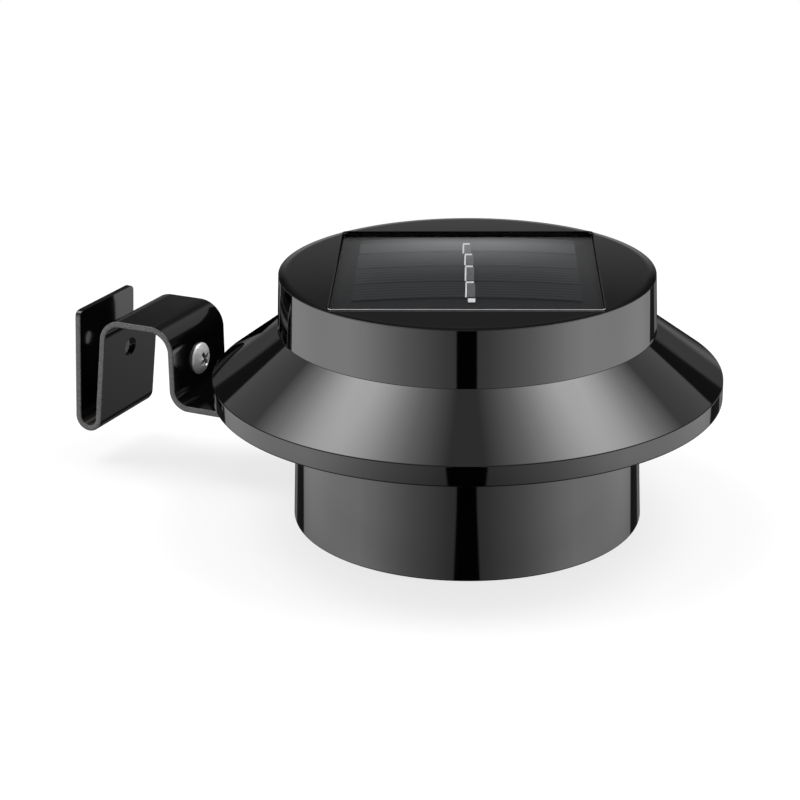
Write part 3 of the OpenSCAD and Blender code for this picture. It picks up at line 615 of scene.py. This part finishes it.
def lipProfile(flat):
    # over the raised lip and down the recess's wall, as (outwards, height)
    size = hood
    steps, low, bend = size["lipSteps"], size["recess"], size["floorRound"]
    lip = [(size["lipWide"] * (1 - i / steps),
            flat + size["lipHigh"] * math.sin(math.pi * i / steps) ** size["lipShape"])
           for i in range(size["lipRings"])]
    wall = [(out, flat - down) for out, down in size["lipInside"]] + [(0.0, low + bend)]
    floor = [(bend * (math.cos(a) - 1), low + bend * (1 - math.sin(a)))
             for a in (math.radians(15 * k) for k in range(1, 7))]
    return lip + wall + floor


def buildHood():
    size = hood
    flat = size["top"] - size["lipHigh"]
    mesh = bmesh.new()
    shell = joinRings(mesh, latheRings(hoodProfile(flat), size["segments"]))
    capToCentre(mesh, shell[-1], (0, 0, size["ceiling"]))
    before = len(mesh.faces)
    wall = joinRings(mesh, [recessRing(grow, z) for grow, z in lipProfile(flat)], capLast=True)
    mesh.faces.ensure_lookup_table()
    for face in mesh.faces[before:before + (size["lipRings"] - 1) * len(wall[0])]:
        face.material_index = 1
    edges = []
    for ring in (shell[0], wall[0]):
        for k in range(len(ring)):
            edges.append(mesh.edges.get((ring[k], ring[(k + 1) % len(ring)])))
    bmesh.ops.triangle_fill(mesh, edges=edges, use_beauty=True, normal=(0, 0, 1))
    obj = toObject("hood", mesh)
    middle = (size["ceiling"] + size["recess"]) / 2
    deep = size["bossLow"] + size["bossDeep"]
    for spot in around(size["bossPitch"], size["bossAngles"]):
        carve(obj, roundTool(size["bossRadius"], size["bossLow"], middle, spot), "UNION")
        carve(obj, roundTool(size["bossHole"], size["bossLow"] - past, deep, spot))
    x, y, radius = size["leadHole"]
    carve(obj, roundTool(radius, size["ceiling"] - past, size["recess"] + past, (x, y, 0)))
    polish(obj)
    dress(obj, "lamp", [finish["hoodPlastic"], recessLip("recessLip")], "upper_shell")


buildHood()
print("hood made")

# lower housing
housing = {
    "base": 41.6, "top": 39.8, "high": 47.2, "wall": 2.0, "floor": 2.5, "baseRound": 0.3,
    "edgeRound": 0.2, "floorRound": 0.4, "flange": 42.0, "flangeLow": 45.2, "lensOpen": 26.59,
    "wellOuter": 4.6, "wellInner": 3.1, "wellLead": 0.25, "wellHigh": 23.9, "web": 21.9,
    "shank": 1.55, "postRadius": 2.6, "postPitch": 33.06, "postAngles": (90, 225, 315),
    "postHigh": 9.9, "postHole": 1.15, "postHoleLow": 5.5, "socketHalf": 12.75, "socketWall": 1.5,
    "socketLow": 17.75, "socketHigh": 19.75, "socketIn": 26.66, "switchAt": -34.06,
    "slotHalf": (1.3, 2.85), "pocketMargin": 1.3, "pocketDeep": 1.2, "pocketRound": 0.8,
    "segments": 256,
}


def sideAt(z):
    # the can's outer radius, which narrows upwards
    return housing["base"] - (housing["base"] - housing["top"]) * z / housing["high"]


def housingShell():
    size = housing
    low = size["flangeLow"] - (size["flange"] - sideAt(size["flangeLow"]))
    edge = size["edgeRound"]
    corners = [
        (size["lensOpen"], 0, size["baseRound"]), (size["base"], 0, size["baseRound"]),
        (sideAt(low), low, edge), (size["flange"], size["flangeLow"], edge),
        (size["flange"], size["high"], edge), (size["top"] - size["wall"], size["high"], edge),
        (sideAt(size["floor"]) - size["wall"], size["floor"], size["floorRound"]),
        (size["lensOpen"], size["floor"], edge)]
    mesh = bmesh.new()
    joinRings(mesh, latheRings(filleted(corners, True, 6), size["segments"]), closed=True)
    return toObject("housing", mesh)


def addSocket(obj):
    # the box that the bracket's tongue slides into
    size = housing
    wide, inside = size["socketHalf"] + size["socketWall"], size["socketIn"] - size["socketWall"]
    radius = sideAt(size["socketLow"]) - size["wall"] / 2
    reach = math.degrees(math.asin(wide / radius))
    outline = [(-wide, inside), (wide, inside)] + arcPoints((0, 0), radius, 90 - reach, 90 + reach, 24)
    low, high = size["socketLow"] - size["socketWall"], size["socketHigh"] + size["socketWall"]
    carve(obj, prismTool(outline, low, high), "UNION")


def buildHousing():
    size = housing
    obj = housingShell()
    wells = around(hood["bossPitch"], hood["bossAngles"])
    posts = around(size["postPitch"], size["postAngles"])
    half = size["floor"] / 2
    for spot in wells:
        carve(obj, roundTool(size["wellOuter"], half, size["wellHigh"], spot, 64), "UNION")
    for spot in posts:
        carve(obj, roundTool(size["postRadius"], half, size["postHigh"], spot), "UNION")
    addSocket(obj)
    mouth = size["wellInner"] + size["wellLead"]
    bore = [(mouth, -past), (mouth, 0.0), (size["wellInner"], size["wellLead"]),
            (size["wellInner"], size["web"]), (size["shank"], size["web"]),
            (size["shank"], size["wellHigh"] + past)]
    for spot in wells:
        carve(obj, turnedTool(bore, spot, 64))
    for spot in posts:
        carve(obj, roundTool(size["postHole"], size["postHoleLow"], size["postHigh"] + past, spot))
    carve(obj, blockTool((-size["socketHalf"], size["socketIn"], size["socketLow"]),
                         (size["socketHalf"], size["base"] + past, size["socketHigh"])))
    x, (wide, long), margin = size["switchAt"], size["slotHalf"], size["pocketMargin"]
    carve(obj, blockTool((x - wide, -long, -past), (x + wide, long, size["floor"] + past)))
    pocket = roundedBox(wide + margin, long + margin, size["pocketRound"], 5, x)
    carve(obj, prismTool(pocket, -past, size["pocketDeep"]))
    polish(obj)
    dress(obj, "lamp", [finish["housingPlastic"]], "lower_housing")


buildHousing()
print("housing made")

# bracket, its places as (y, z)
bracket = {
    "halfWide": 12.5, "thick": 1.5, "edge": 0.22, "tongueEnd": 26.914, "tongueTop": 19.5,
    "plateTop": 40.0, "cornerRound": 1.5, "cornerSteps": 8, "lean": 7.0, "plateLean": 3.5,
    "stepAngle": 3.0, "tongueBend": ((70.0, 23.0), 3.5), "frontBend": ((80.0, 32.4), 5.0),
    "backBend": ((88.734, 32.9), 4.5), "hook": ((99.536, 12.05), 2.2),
    "holeHigh": 27.7, "holeRadius": 2.05, "frontLeg": 73.5, "backLegHole": 93.906,
    "mouth": 0.5, "ridges": 3, "ridgeFrom": 0.62, "ridgePitch": 0.45, "ridgeDeep": 0.22,
    "bareEdge": (12.28, 12.42),                         # where the coat thins, across
    "dust": ((97.0, 98.0), (101.0, 102.0), (10.5, 13.0)),   # down in the hook: y from, y to, z
}


def coatedSteel(name):
    # black coat, thin on the cut edges, with dust down in the hook
    material, s = newMaterial(name)
    place = s.placeMm()
    cloudy = s.noise(place, scale=0.12, detail=4.0)
    peel = s.noise(place, scale=0.9, detail=2.0)
    mottle = s.noise(place, scale=2.2, detail=4.0)
    x, y, z = s.axes(place)
    edge = s.smooth(abs(x), *bracket["bareEdge"])
    thin = edge * (0.5 + 0.5 * s.smooth(mottle, 0.3, 0.7))
    dustFrom, dustTo, dustUp = bracket["dust"]
    dusty = s.band(y, dustFrom, dustTo) * s.fade(z, *dustUp)
    coat = s.blend(dusty, (0.003, 0.003, 0.0034, 1), (0.06, 0.052, 0.045, 1))
    return principled(
        material, s, Base_Color=s.blend(thin, coat, (0.17, 0.17, 0.172, 1)), IOR=1.45,
        Roughness=0.07 + 0.07 * cloudy + 0.2 * edge,
        Normal=s.bump(peel, strength=0.06, distance=0.00005))


def bracketPath():
    # centre line as (y, z, direction of the strip's upper face)
    size = bracket
    half = size["thick"] / 2
    path = [(size["tongueEnd"], size["tongueTop"] - half, (0.0, 1.0))]

    def bend(which, start, end, faceIn):
        (y, z), inner = size[which]
        steps = max(4, round(abs(end - start) / size["stepAngle"]))
        for i in range(steps + 1):
            a = math.radians(start + (end - start) * i / steps)
            out = (math.cos(a), math.sin(a))
            face = (-out[0], -out[1]) if faceIn else out
            path.append((y + (inner + half) * out[0], z + (inner + half) * out[1], face))

    bend("tongueBend", -90, 0, True)
    bend("frontBend", 180, 90, False)
    bend("backBend", 90, size["lean"], False)
    bend("hook", 180 + size["lean"], 360 + size["plateLean"], True)
    y, z, face = path[-1]
    rise = size["plateTop"] - z
    path.append((y - rise * math.tan(math.radians(size["plateLean"])), size["plateTop"], face))
    return path


def endStations(end, nextPoint):
    # an end of the strip, narrower in steps towards its tip, so that its corners are round
    size = bracket
    here = Vector(end[:2])
    ahead = (Vector(nextPoint[:2]) - here).normalized()
    stations = []
    for i in range(size["cornerSteps"] + 1):
        a = math.radians(90 * i / size["cornerSteps"])
        spot = here + ahead * (size["cornerRound"] * (1 - math.sin(a)))
        stations.append((*spot, end[2], size["cornerRound"] * (1 - math.cos(a)), 0.0))
    return stations + [(*here, end[2], size["cornerRound"], size["edge"] / 2)]


def bracketRings():
    size = bracket
    path = bracketPath()
    stations = list(reversed(endStations(path[0], path[1])))
    stations += [(*point, 0.0, 0.0) for point in path[1:-1]]
    stations += endStations(path[-1], path[-2])
    rings = []
    for y, z, face, shrink, thin in stations:
        section = roundedBox(size["halfWide"] - shrink - thin, size["thick"] / 2 - thin, size["edge"], 4)
        rings.append([(u, y + v * face[0], z + v * face[1]) for u, v in section])
    return rings


def lyingTool(profile, y, z):
    # a turned tool whose axis lies along +Y
    mesh = bmesh.new()
    joinRings(mesh, latheRings(profile, 48), capFirst=True, capLast=True)
    quarter = Matrix.Rotation(-math.pi / 2, 3, "X")
    bmesh.ops.rotate(mesh, verts=mesh.verts, cent=(0, 0, 0), matrix=quarter)
    bmesh.ops.translate(mesh, verts=mesh.verts, vec=(0, y * mm, z * mm))
    return toObject("tool", mesh)


def buildBracket():
    size = bracket
    obj = ringSolid("clipBracket", bracketRings())
    radius, deep, mouth = size["holeRadius"], size["ridgeDeep"], size["mouth"]
    plain = [(radius, -past), (radius, size["thick"] + past)]
    carve(obj, lyingTool(plain, size["frontLeg"], size["holeHigh"]))
    ridged = [(radius + mouth, -past), (radius + mouth, 0.0), (radius, mouth)]
    for k in range(size["ridges"]):
        start = size["ridgeFrom"] + size["ridgePitch"] * k
        ridged += [(radius - deep, start), (radius, start + deep)]
    ridged += [(radius, 2 * size["thick"])]
    carve(obj, lyingTool(ridged, size["backLegHole"], size["holeHigh"]))
    polish(obj)
    dress(obj, "bracket", [coatedSteel("bracketCoat")], "bracket")


buildBracket()
print("bracket made")

# clamp screw
screw = {
    "face": 73.5, "high": 27.7, "head": 4.0, "headHigh": 1.8, "edge": 0.5, "shank": 2.0,
    "core": 1.68, "length": 6.0, "pitch": 0.7, "crest": 1.25, "perTurn": 14, "tipTaper": 0.7,
    "rootTaper": 0.4, "crossReach": 2.35, "crossHalf": 0.6, "crossTurn": 28.0,
    # height from the head's top, share of the reach and share of the half width
    "crossLevels": ((0.6, 1.12, 1.2), (-0.72, 0.72, 0.85), (-1.2, 0.3, 0.5)),
    "crossShade": ((0.05, 0.25), (6.0, 6.6)),     # painted shade in the cross: depth, and distance from the axis squared
    # the head's edge, out from its radius and up from its seat
    "rim": ((-0.03, 0.45), (0.0, 0.3), (0.0, 0.12), (-0.12, 0.0)),
    "segments": 96,
}


def crossHead(name):
    # bright plating, darkened down in the cross recess by painted shade
    material, s = newMaterial(name)
    place = s.placeMm()
    marks = s.noise(place, scale=1.6, detail=4.0, rough=0.6)
    x, y, z = s.axes(place)
    high = z - screw["high"]
    out = x * x + high * high
    rise = screw["headHigh"] - screw["edge"]
    depth = y - (screw["face"] - screw["headHigh"]) - out * (rise / screw["head"] ** 2)
    crossShadeFrom, crossShadeWithin = screw["crossShade"]
    # painted shade, darker the deeper in the cross recess
    crossShade = s.smooth(depth, *crossShadeFrom) * s.fade(out, *crossShadeWithin)
    return principled(
        material, s, Base_Color=s.blend(crossShade, (0.97, 0.97, 0.96, 1), grey(0.2)), Metallic=0.4,
        Roughness=0.3 + 0.12 * marks, Normal=s.bump(marks, strength=0.1, distance=0.00003))


def threadRings():
    size = screw
    rings = []
    count = int(size["length"] / size["pitch"] * size["perTurn"])
    for i in range(1, count + 1):
        z = -size["length"] * i / count
        taper = max(0.0, min(1.0, (size["length"] + z) / size["tipTaper"], -z / size["rootTaper"]))
        ring = []
        for k in range(size["segments"]):
            share = (k / size["segments"] - z / size["pitch"]) % 1.0
            ridge = min(1.0, size["crest"] * (1 - abs(2 * share - 1)))
            radius = size["core"] + (size["shank"] - size["core"]) * ridge * taper
            a = 2 * math.pi * k / size["segments"]
            ring.append((radius * math.cos(a), radius * math.sin(a), z))
        rings.append(ring)
    return rings


def crossTool():
    levels = []
    for z, span, arm in screw["crossLevels"]:
        s, w = screw["crossReach"] * span, screw["crossHalf"] * arm
        outline = [(s, -w), (s, w), (w, w), (w, s), (-w, s), (-w, w), (-s, w), (-s, -w), (-w, -w),
                   (-w, -s), (w, -s), (w, -w)]
        levels.append([(x, y, screw["headHigh"] + z) for x, y in outline])
    return ringSolid("tool", levels)


def buildClampScrew():
    size = screw
    head = size["head"]
    rise = size["headHigh"] - size["edge"]
    dome = (head ** 2 + rise ** 2) / (2 * rise)
    reach = math.degrees(math.asin(head / dome))
    profile = arcPoints((0, size["headHigh"] - dome), dome, 89.0, 90 - reach + 2.0, 24)
    profile += [(head + out, up) for out, up in size["rim"]] + [(size["shank"], 0.0)]
    obj = ringSolid("clampScrewPiece", latheRings(profile, size["segments"]) + threadRings())
    carve(obj, crossTool())
    turn = Matrix.Rotation(math.radians(90), 4, "X")
    turn = turn @ Matrix.Rotation(math.radians(size["crossTurn"]), 4, "Z")
    obj.data.transform(Matrix.Translation((0, size["face"] * mm, size["high"] * mm)) @ turn)
    polish(obj, angle=38)
    dress(obj, "clamp_screw", [crossHead("screwBright")], "clamp_screw")


buildClampScrew()
print("clamp screw made")

# panel window and ribbons
window = {
    "half": 30.39, "round": 1.0, "top": 59.85, "swell": 0.7, "crown": 379.76, "edge": 0.3,
    "under": 59.5, "cells": 59.35, "sideSteps": 24, "inwardSteps": 16,
}


def crownDrop(x):
    # the cells curve down a little to both sides
    return window["crown"] - math.sqrt(window["crown"] ** 2 - x * x)


def windowOutline():
    # a rounded square with points along its sides too, so that the top swells evenly
    corners = roundedBox(window["half"], window["half"], window["round"], 6)
    perCorner, steps = len(corners) // 4, window["sideSteps"]
    outline = []
    for first in range(0, len(corners), perCorner):
        outline += corners[first:first + perCorner]
        x0, y0 = outline[-1]
        x1, y1 = corners[(first + perCorner) % len(corners)]
        outline += [(x0 + (x1 - x0) * i / steps, y0 + (y1 - y0) * i / steps) for i in range(1, steps)]
    return outline


def buildWindow():
    # a sheet with level sides and a softly swollen top
    size = window
    outline = windowOutline()
    inner = size["half"] - size["round"]

    def upper(scale, depth):
        points = []
        for x, y in outline:
            swell = max(0.0, 1 - (x * scale / inner) ** 2) * max(0.0, 1 - (y * scale / inner) ** 2)
            points.append((x * scale, y * scale, size["top"] + size["swell"] * swell - depth))
        return panelTurned(points)

    def lower(scale):
        return panelTurned([(x * scale, y * scale, size["under"]) for x, y in outline])

    scales = [1.0 - i / size["inwardSteps"] for i in range(size["inwardSteps"])]
    edge = size["edge"] / size["half"]
    turns = [math.radians(22.5 * k) for k in range(5)]
    side = [upper(1.0 - edge * (1 - math.cos(a)), size["edge"] * (1 - math.sin(a))) for a in turns]
    rings = [lower(scale) for scale in reversed(scales)] + side
    rings += [upper(scale, 0.0) for scale in scales[1:]]
    mesh = bmesh.new()
    made = joinRings(mesh, rings)
    mesh.faces.ensure_lookup_table()
    first = (len(scales) - 1) * len(outline)
    for face in mesh.faces[first:first + len(side) * len(outline)]:
        face.material_index = 1
    capToCentre(mesh, made[0], (0, 0, size["under"]))
    capToCentre(mesh, made[-1], (0, 0, size["top"] + size["swell"]))
    obj = toObject("panelWindow", mesh)
    polish(obj, angle=60)
    dress(obj, "lamp", [finish["panelCover"], finish["groundEdge"]], "panel_window")


# each span is (left, right, front, back) in the panel's directions
ribbons = {
    "thick": 0.12, "line": 0.42, "bar": 1.2, "gap": 0.1, "inset": 0.3,
    "lineRound": 0.08, "barRound": 0.1, "padRound": 0.04,
    "spans": ((-0.34, 1.9, -18.4, -6.6), (-0.52, 1.68, -6.2, 5.7), (-0.7, 1.48, 6.0, 15.3),
              (-1.16, 0.89, 15.6, 24.0)),
    "endPad": (0.3, 1.97, -22.0, -19.2),
}


def softBar(mesh, span, high, rounding, index=0):
    # a thin bar with rounded upper edges, laid on the cells
    left, right, front, back = span
    rings = []
    for inset, z in [(0.0, 0.0)] + [
            (rounding * (1 - math.cos(a)), high - rounding * (1 - math.sin(a)))
            for a in (math.radians(30 * i) for i in range(4))]:
        corners = [(left + inset, front + inset), (right - inset, front + inset),
                   (right - inset, back - inset), (left + inset, back - inset)]
        rings.append(panelTurned([(x, y, window["cells"] + z - crownDrop(x)) for x, y in corners]))
    before = len(mesh.faces)
    joinRings(mesh, rings, capFirst=True, capLast=True)
    mesh.faces.ensure_lookup_table()
    for face in mesh.faces[before:]:
        face.material_index = index


def buildRibbons():
    size = ribbons
    thick, line, gap, inset = size["thick"], size["line"], size["gap"], size["inset"]
    mesh = bmesh.new()
    for left, right, front, back in size["spans"]:
        start = back - size["bar"]
        softBar(mesh, (left, left + line, front, start - gap), thick, size["lineRound"])
        softBar(mesh, (left + gap, right - inset, start, back), thick, size["barRound"])
        pad = (left + line + gap, right, front + inset, start - gap)
        softBar(mesh, pad, thick / 2, size["padRound"], index=1)
    softBar(mesh, size["endPad"], thick, size["barRound"])
    obj = toObject("cellRibbons", mesh)
    polish(obj, angle=50)
    dress(obj, "lamp", [finish["tinnedRibbon"], finish["busPad"]], "cell_ribbons")


buildWindow()
buildRibbons()
print("panel made")

# leads and battery spring
wiring = {
    "split": 1.1, "padX": 9.0, "holeY": 12.0, "padY": 15.0, "high": 57.4, "low": 11.5,
    "radius": 0.7, "steps": 40, "sides": 20,
    "leads": ((-1, "leadRed", "red_lead", "redLead", "panel_lead_red"),
              (1, "leadBlack", "black_lead", "blackLead", "panel_lead_black")),
}
spring = {
    "start": -27.15, "run": 3.9, "wide": 4.8, "narrow": 3.2, "turns": 3, "perTurn": 48,
    "wire": 0.35, "sides": 12, "atY": -8.0, "atZ": 20.6,
}


def between(first, last, share):
    return first + (last - first) * share


def buildLeads():
    size = wiring
    for side, name, slotName, finishName, node in size["leads"]:
        points = []
        for i in range(size["steps"] + 1):
            t = i / size["steps"]
            soft = t * t * (3 - 2 * t)
            points.append(Vector((side * between(size["split"], size["padX"], soft),
                                  between(size["holeY"], size["padY"], soft),
                                  between(size["high"], size["low"], t))))
        obj = tube(name, points, size["radius"], size["sides"])
        polish(obj)
        dress(obj, "lamp", [finish[finishName]], node)


def buildSpring():
    size = spring
    points = []
    count = size["perTurn"] * size["turns"]
    for i in range(count + 1):
        share = i / count
        a = 2 * math.pi * size["turns"] * share
        radius = between(size["wide"], size["narrow"], share)
        points.append(Vector((size["start"] + size["run"] * share, size["atY"] + radius * math.cos(a),
                              size["atZ"] + radius * math.sin(a))))
    obj = tube("batterySpring", points, size["wire"], size["sides"])
    polish(obj)
    dress(obj, "lamp", [finish["springSteel"]], "battery_spring")


buildLeads()
buildSpring()
print("wiring made")

# CAD nodes that keep their shape
kept = {
    "panel_carrier": "carrierBoard", "solar_cells": "siliconCells", "body_seal": "sealRubber",
    "lens": "clearLens", "reflector": "reflectorChrome", "leds": "resinDome",
    "circuit_board": "circuitGreen", "driver_chip": "chipBlack", "choke": "woundCopper",
    "capacitor": "capacitorSleeve", "switch_body": "switchSteel", "switch_slider": "switchPlastic",
    "battery_holder": "holderPlastic", "battery_cell": "batterySleeve",
    "battery_contacts": "contactPlate", "housing_screws": "screwZinc", "board_screws": "screwZinc",
}
for nodeName, finishName in kept.items():
    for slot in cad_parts[nodeName].material_slots:
        slot.material = finish[finishName]
print("frame nodes dressed:", len(kept))

# studio, in metres and degrees
studio = {
    "towardsCamera": 204.2, "worldSoft": 0.35, "domeRadius": 8.0,
    "lightFar": 1.2, "lightSize": 1.3, "lightAz": 109.0, "lightHigh": 61.0, "lightPeak": 7.5,
    "lightAim": 0.035,
    "lightFade": ((0.0, 1.0), (0.08, 0.97), (0.16, 0.74), (0.24, 0.47), (0.32, 0.26), (0.42, 0.1),
                  (0.5, 0.0)),
    "shieldX": 16.0, "shieldY": (56.0, 75.0), "shieldHigh": 42.0,       # millimetres
    "floorHalf": 4.0, "floorDrop": 0.0001, "floorTone": 0.25, "floorGlow": 0.77,
    "floorFade": (0.1, 0.3),
}

# tones that only reflections see, by degrees round from the camera and degrees up
cards = {
    "centre": 0.03,
    # light cards: tone by degrees round, and share of it by degrees up
    "side": ((0, 0.7), (12, 0.93), (25, 1.46), (37, 2.0), (50, 2.85), (62, 3.6), (74, 3.85),
             (87, 3.3), (99, 2.7), (111, 2.2), (123, 1.65), (136, 0.97), (140, 0.8), (180, 0.8)),
    "sidePeak": 4.0,
    "lower": ((-40, 0.05), (-30, 0.14), (-24, 0.38), (-22.4, 0.64), (-20, 0.95), (-16.8, 1.0),
              (-14.4, 1.0), (-11.2, 0.9), (-8, 0.5), (-4, 0.12), (0, 0.04)),
    # black gap ahead: degrees to each side, by degrees up
    "gap": ((-30, 7.5), (-25, 6.0), (-22, 9.3), (-19, 6.5), (-16, 6.0)), "gapPeak": 10.0,
    "gapSoft": 0.6,
    # a darker belt for the upright rim
    "belt": ((-22.0, -20.5), (-18.0, -16.5)), "beltRound": (60.0, 135.0), "beltDark": 0.27,
    # a black flag at the end of the cards, leaning out at its foot
    "flag": ((143.5, 145.5), (154.5, 156.5)), "flagTone": 0.03, "flagLean": 1.2, "flagKnee": -16.0,
    "flagReach": -7.5,
    # behind the object
    "rear": ((-30, 0.25), (-4.8, 0.22), (6, 0.45), (10.8, 0.6), (13.2, 0.5), (15.6, 0.28),
             (18.3, 0.07), (24, 0.1), (30, 0.2)),
    "rearFrom": (154.5, 156.5), "rearLean": 6.0, "rearLeanUp": (0.0, 10.0),
    "veilUp": (-4.0, 2.0), "veilRound": (168.0, 174.0), "veilDark": 0.65,
    "footRound": (160.0, 170.0), "footUp": (-8.0, -2.0), "footDark": 0.9,
    # sky over all of it, starting higher up and darker behind
    "sky": 0.57, "skyFrom": (20.0, 21.0), "skySlantFrom": 146.0, "skySlantMost": 3.0,
    "skyLift": 10.5, "skyBack": (150.0, 165.0), "skyBackUp": (60.0, 75.0), "skyBackDark": 0.85,
}


def buildWorld():
    world = bpy.data.worlds.new("studio")
    bpy.context.scene.world = world
    world.use_nodes = True
    s = Shade(world.node_tree)
    rays = s.node("LightPath").socket.node.outputs
    seen = Wire(s, rays["Is Camera Ray"]) + Wire(s, rays["Is Glossy Ray"])
    seen = seen + Wire(s, rays["Is Transmission Ray"])
    tone = studio["worldSoft"] + (1 - studio["worldSoft"]) * seen.math("MINIMUM", 1.0)
    back = s.node("Background", {}, {"Color": tone, "Strength": 1.0})
    s.node("OutputWorld", {}, {"Surface": back})


def onlyGlossy(obj, material):
    obj.data.materials.append(material)
    obj.visible_camera = False
    obj.visible_diffuse = False
    obj.visible_shadow = False
    obj.visible_transmission = False
    obj.visible_volume_scatter = False


def cardTone(s, az, high):
    size = cards
    gap = s.ramp(high, size["gap"], size["gapPeak"])
    belt = s.band(high, *size["belt"]) * s.fade(az, *size["beltRound"])
    tone = s.ramp(az, size["side"], size["sidePeak"]) * s.ramp(high, size["lower"])
    tone = tone * s.smooth(az - gap, -size["gapSoft"], size["gapSoft"])
    return tone * (1.0 - size["beltDark"] * belt)


def rearShade(s, az, high):
    size = cards
    veil = s.smooth(high, *size["veilUp"]) * s.fade(az, *size["veilRound"])
    foot = s.smooth(az, *size["footRound"]) * s.fade(high, *size["footUp"])
    tone = s.ramp(high, size["rear"]) * (1.0 - size["veilDark"] * veil)
    return tone * (1.0 - size["footDark"] * foot)


def buildDome():
    # cards, flag and sky on one large sphere
    size = cards
    mesh = bmesh.new()
    bmesh.ops.create_uvsphere(mesh, u_segments=64, v_segments=32, radius=studio["domeRadius"])
    obj = toObject("studioCards", mesh)
    material, s = newMaterial("studioCards")
    x, y, z = s.axes(s.place())
    a = math.radians(studio["towardsCamera"])
    ahead = x * math.cos(a) + y * math.sin(a)
    aside = abs(x * math.sin(a) - y * math.cos(a))
    az = aside.math("ARCTAN2", ahead) * (180 / math.pi)
    level = (x * x + y * y).math("SQRT")
    high = (z - size["centre"]).math("ARCTAN2", level) * (180 / math.pi)
    lean = (high - size["flagKnee"]).clamped(size["flagReach"], 0.0) * size["flagLean"]
    start, end = size["flag"]
    flag = s.smooth(az - lean, *start) * s.fade(az, *end)
    raised = s.smooth(high, *size["rearLeanUp"])
    rear = s.smooth(az + size["rearLean"] * raised, *size["rearFrom"])
    front = cardTone(s, az, high) * (1.0 - flag) + size["flagTone"] * flag
    low = front * (1.0 - rear) + rearShade(s, az, high) * rear
    slant = (az - size["skySlantFrom"]).clamped(0.0, size["skySlantMost"])
    back = s.smooth(az, *size["skyBack"])
    sky = s.smooth(high + slant - size["skyLift"] * back, *size["skyFrom"])
    shaded = back * s.fade(high, *size["skyBackUp"])
    tone = low * (1.0 - sky) + size["sky"] * sky * (1.0 - size["skyBackDark"] * shaded)
    surface(s, s.node("Emission", {}, {"Color": tone, "Strength": 1.0}))
    onlyGlossy(obj, material)


def buildShield():
    # a small black card beside the front leg
    x, (near, far), high = studio["shieldX"], studio["shieldY"], studio["shieldHigh"]
    corners = [(x, near, 0), (x, far, 0), (x, far, high), (x, near, high)]
    mesh = bmesh.new()
    mesh.faces.new([mesh.verts.new([value * mm for value in corner]) for corner in corners])
    obj = toObject("studioShield", mesh)
    material, s = newMaterial("studioShield")
    surface(s, s.node("BsdfDiffuse", {}, {"Color": grey(0.0)}))
    onlyGlossy(obj, material)


def buildLights():
    for side in (-1, 1):
        data = bpy.data.lights.new("softLight", "AREA")
        data.shape, data.size = "SQUARE", studio["lightSize"]
        data.energy = studio["lightPeak"] * math.pi * studio["lightSize"] ** 2
        data.use_nodes = True
        s = Shade(data.node_tree)
        u, v = s.axes(s.node("NewGeometry", out="Parametric"))[:2]
        far = ((u - 0.5) * (u - 0.5) + (v - 0.5) * (v - 0.5)).math("SQRT")
        glow = s.node("Emission", {}, {"Color": s.ramp(far, studio["lightFade"]), "Strength": 1.0})
        s.node("OutputLight", {}, {"Surface": glow})
        obj = bpy.data.objects.new("softLight", data)
        bpy.context.scene.collection.objects.link(obj)
        az = math.radians(studio["towardsCamera"] + side * studio["lightAz"])
        el = math.radians(studio["lightHigh"])
        way = Vector((math.cos(az) * math.cos(el), math.sin(az) * math.cos(el), math.sin(el)))
        obj.location = Vector((0, 0, studio["lightAim"])) + way * studio["lightFar"]
        obj.rotation_mode = "QUATERNION"
        obj.rotation_quaternion = way.to_track_quat("Z", "Y")


def buildFloor():
    # pale round the object, plain white further out, clear from below
    mesh = bmesh.new()
    bmesh.ops.create_grid(mesh, x_segments=1, y_segments=1, size=studio["floorHalf"])
    bmesh.ops.translate(mesh, verts=mesh.verts, vec=(0, 0, -studio["floorDrop"]))
    obj = toObject("floor", mesh)
    if obj.data.polygons[0].normal.z < 0:
        obj.data.flip_normals()
    material, s = newMaterial("floor")
    x, y = s.axes(s.place())[:2]
    far = (x * x + y * y).math("SQRT")
    matt = s.node("BsdfDiffuse", {}, {"Color": grey(studio["floorTone"])})
    glow = s.node("Emission", {}, {"Color": grey(1), "Strength": studio["floorGlow"]})
    matt = s.node("AddShader", {}, {0: matt, 1: glow})
    white = s.node("Emission", {}, {"Color": grey(1), "Strength": 1.0})
    clear = s.node("BsdfTransparent", {}, {"Color": grey(1)})
    top = s.node("MixShader", {}, {0: s.smooth(far, *studio["floorFade"]), 1: matt, 2: white})
    below = s.node("NewGeometry", out="Backfacing")
    surface(s, s.node("MixShader", {}, {0: below, 1: top, 2: clear}))
    obj.data.materials.append(material)
    obj.visible_glossy = obj.visible_diffuse = obj.visible_transmission = False


buildWorld()
buildDome()
buildShield()
buildLights()
buildFloor()
bpy.context.scene.view_settings.view_transform = "Standard"
print("studio lit")
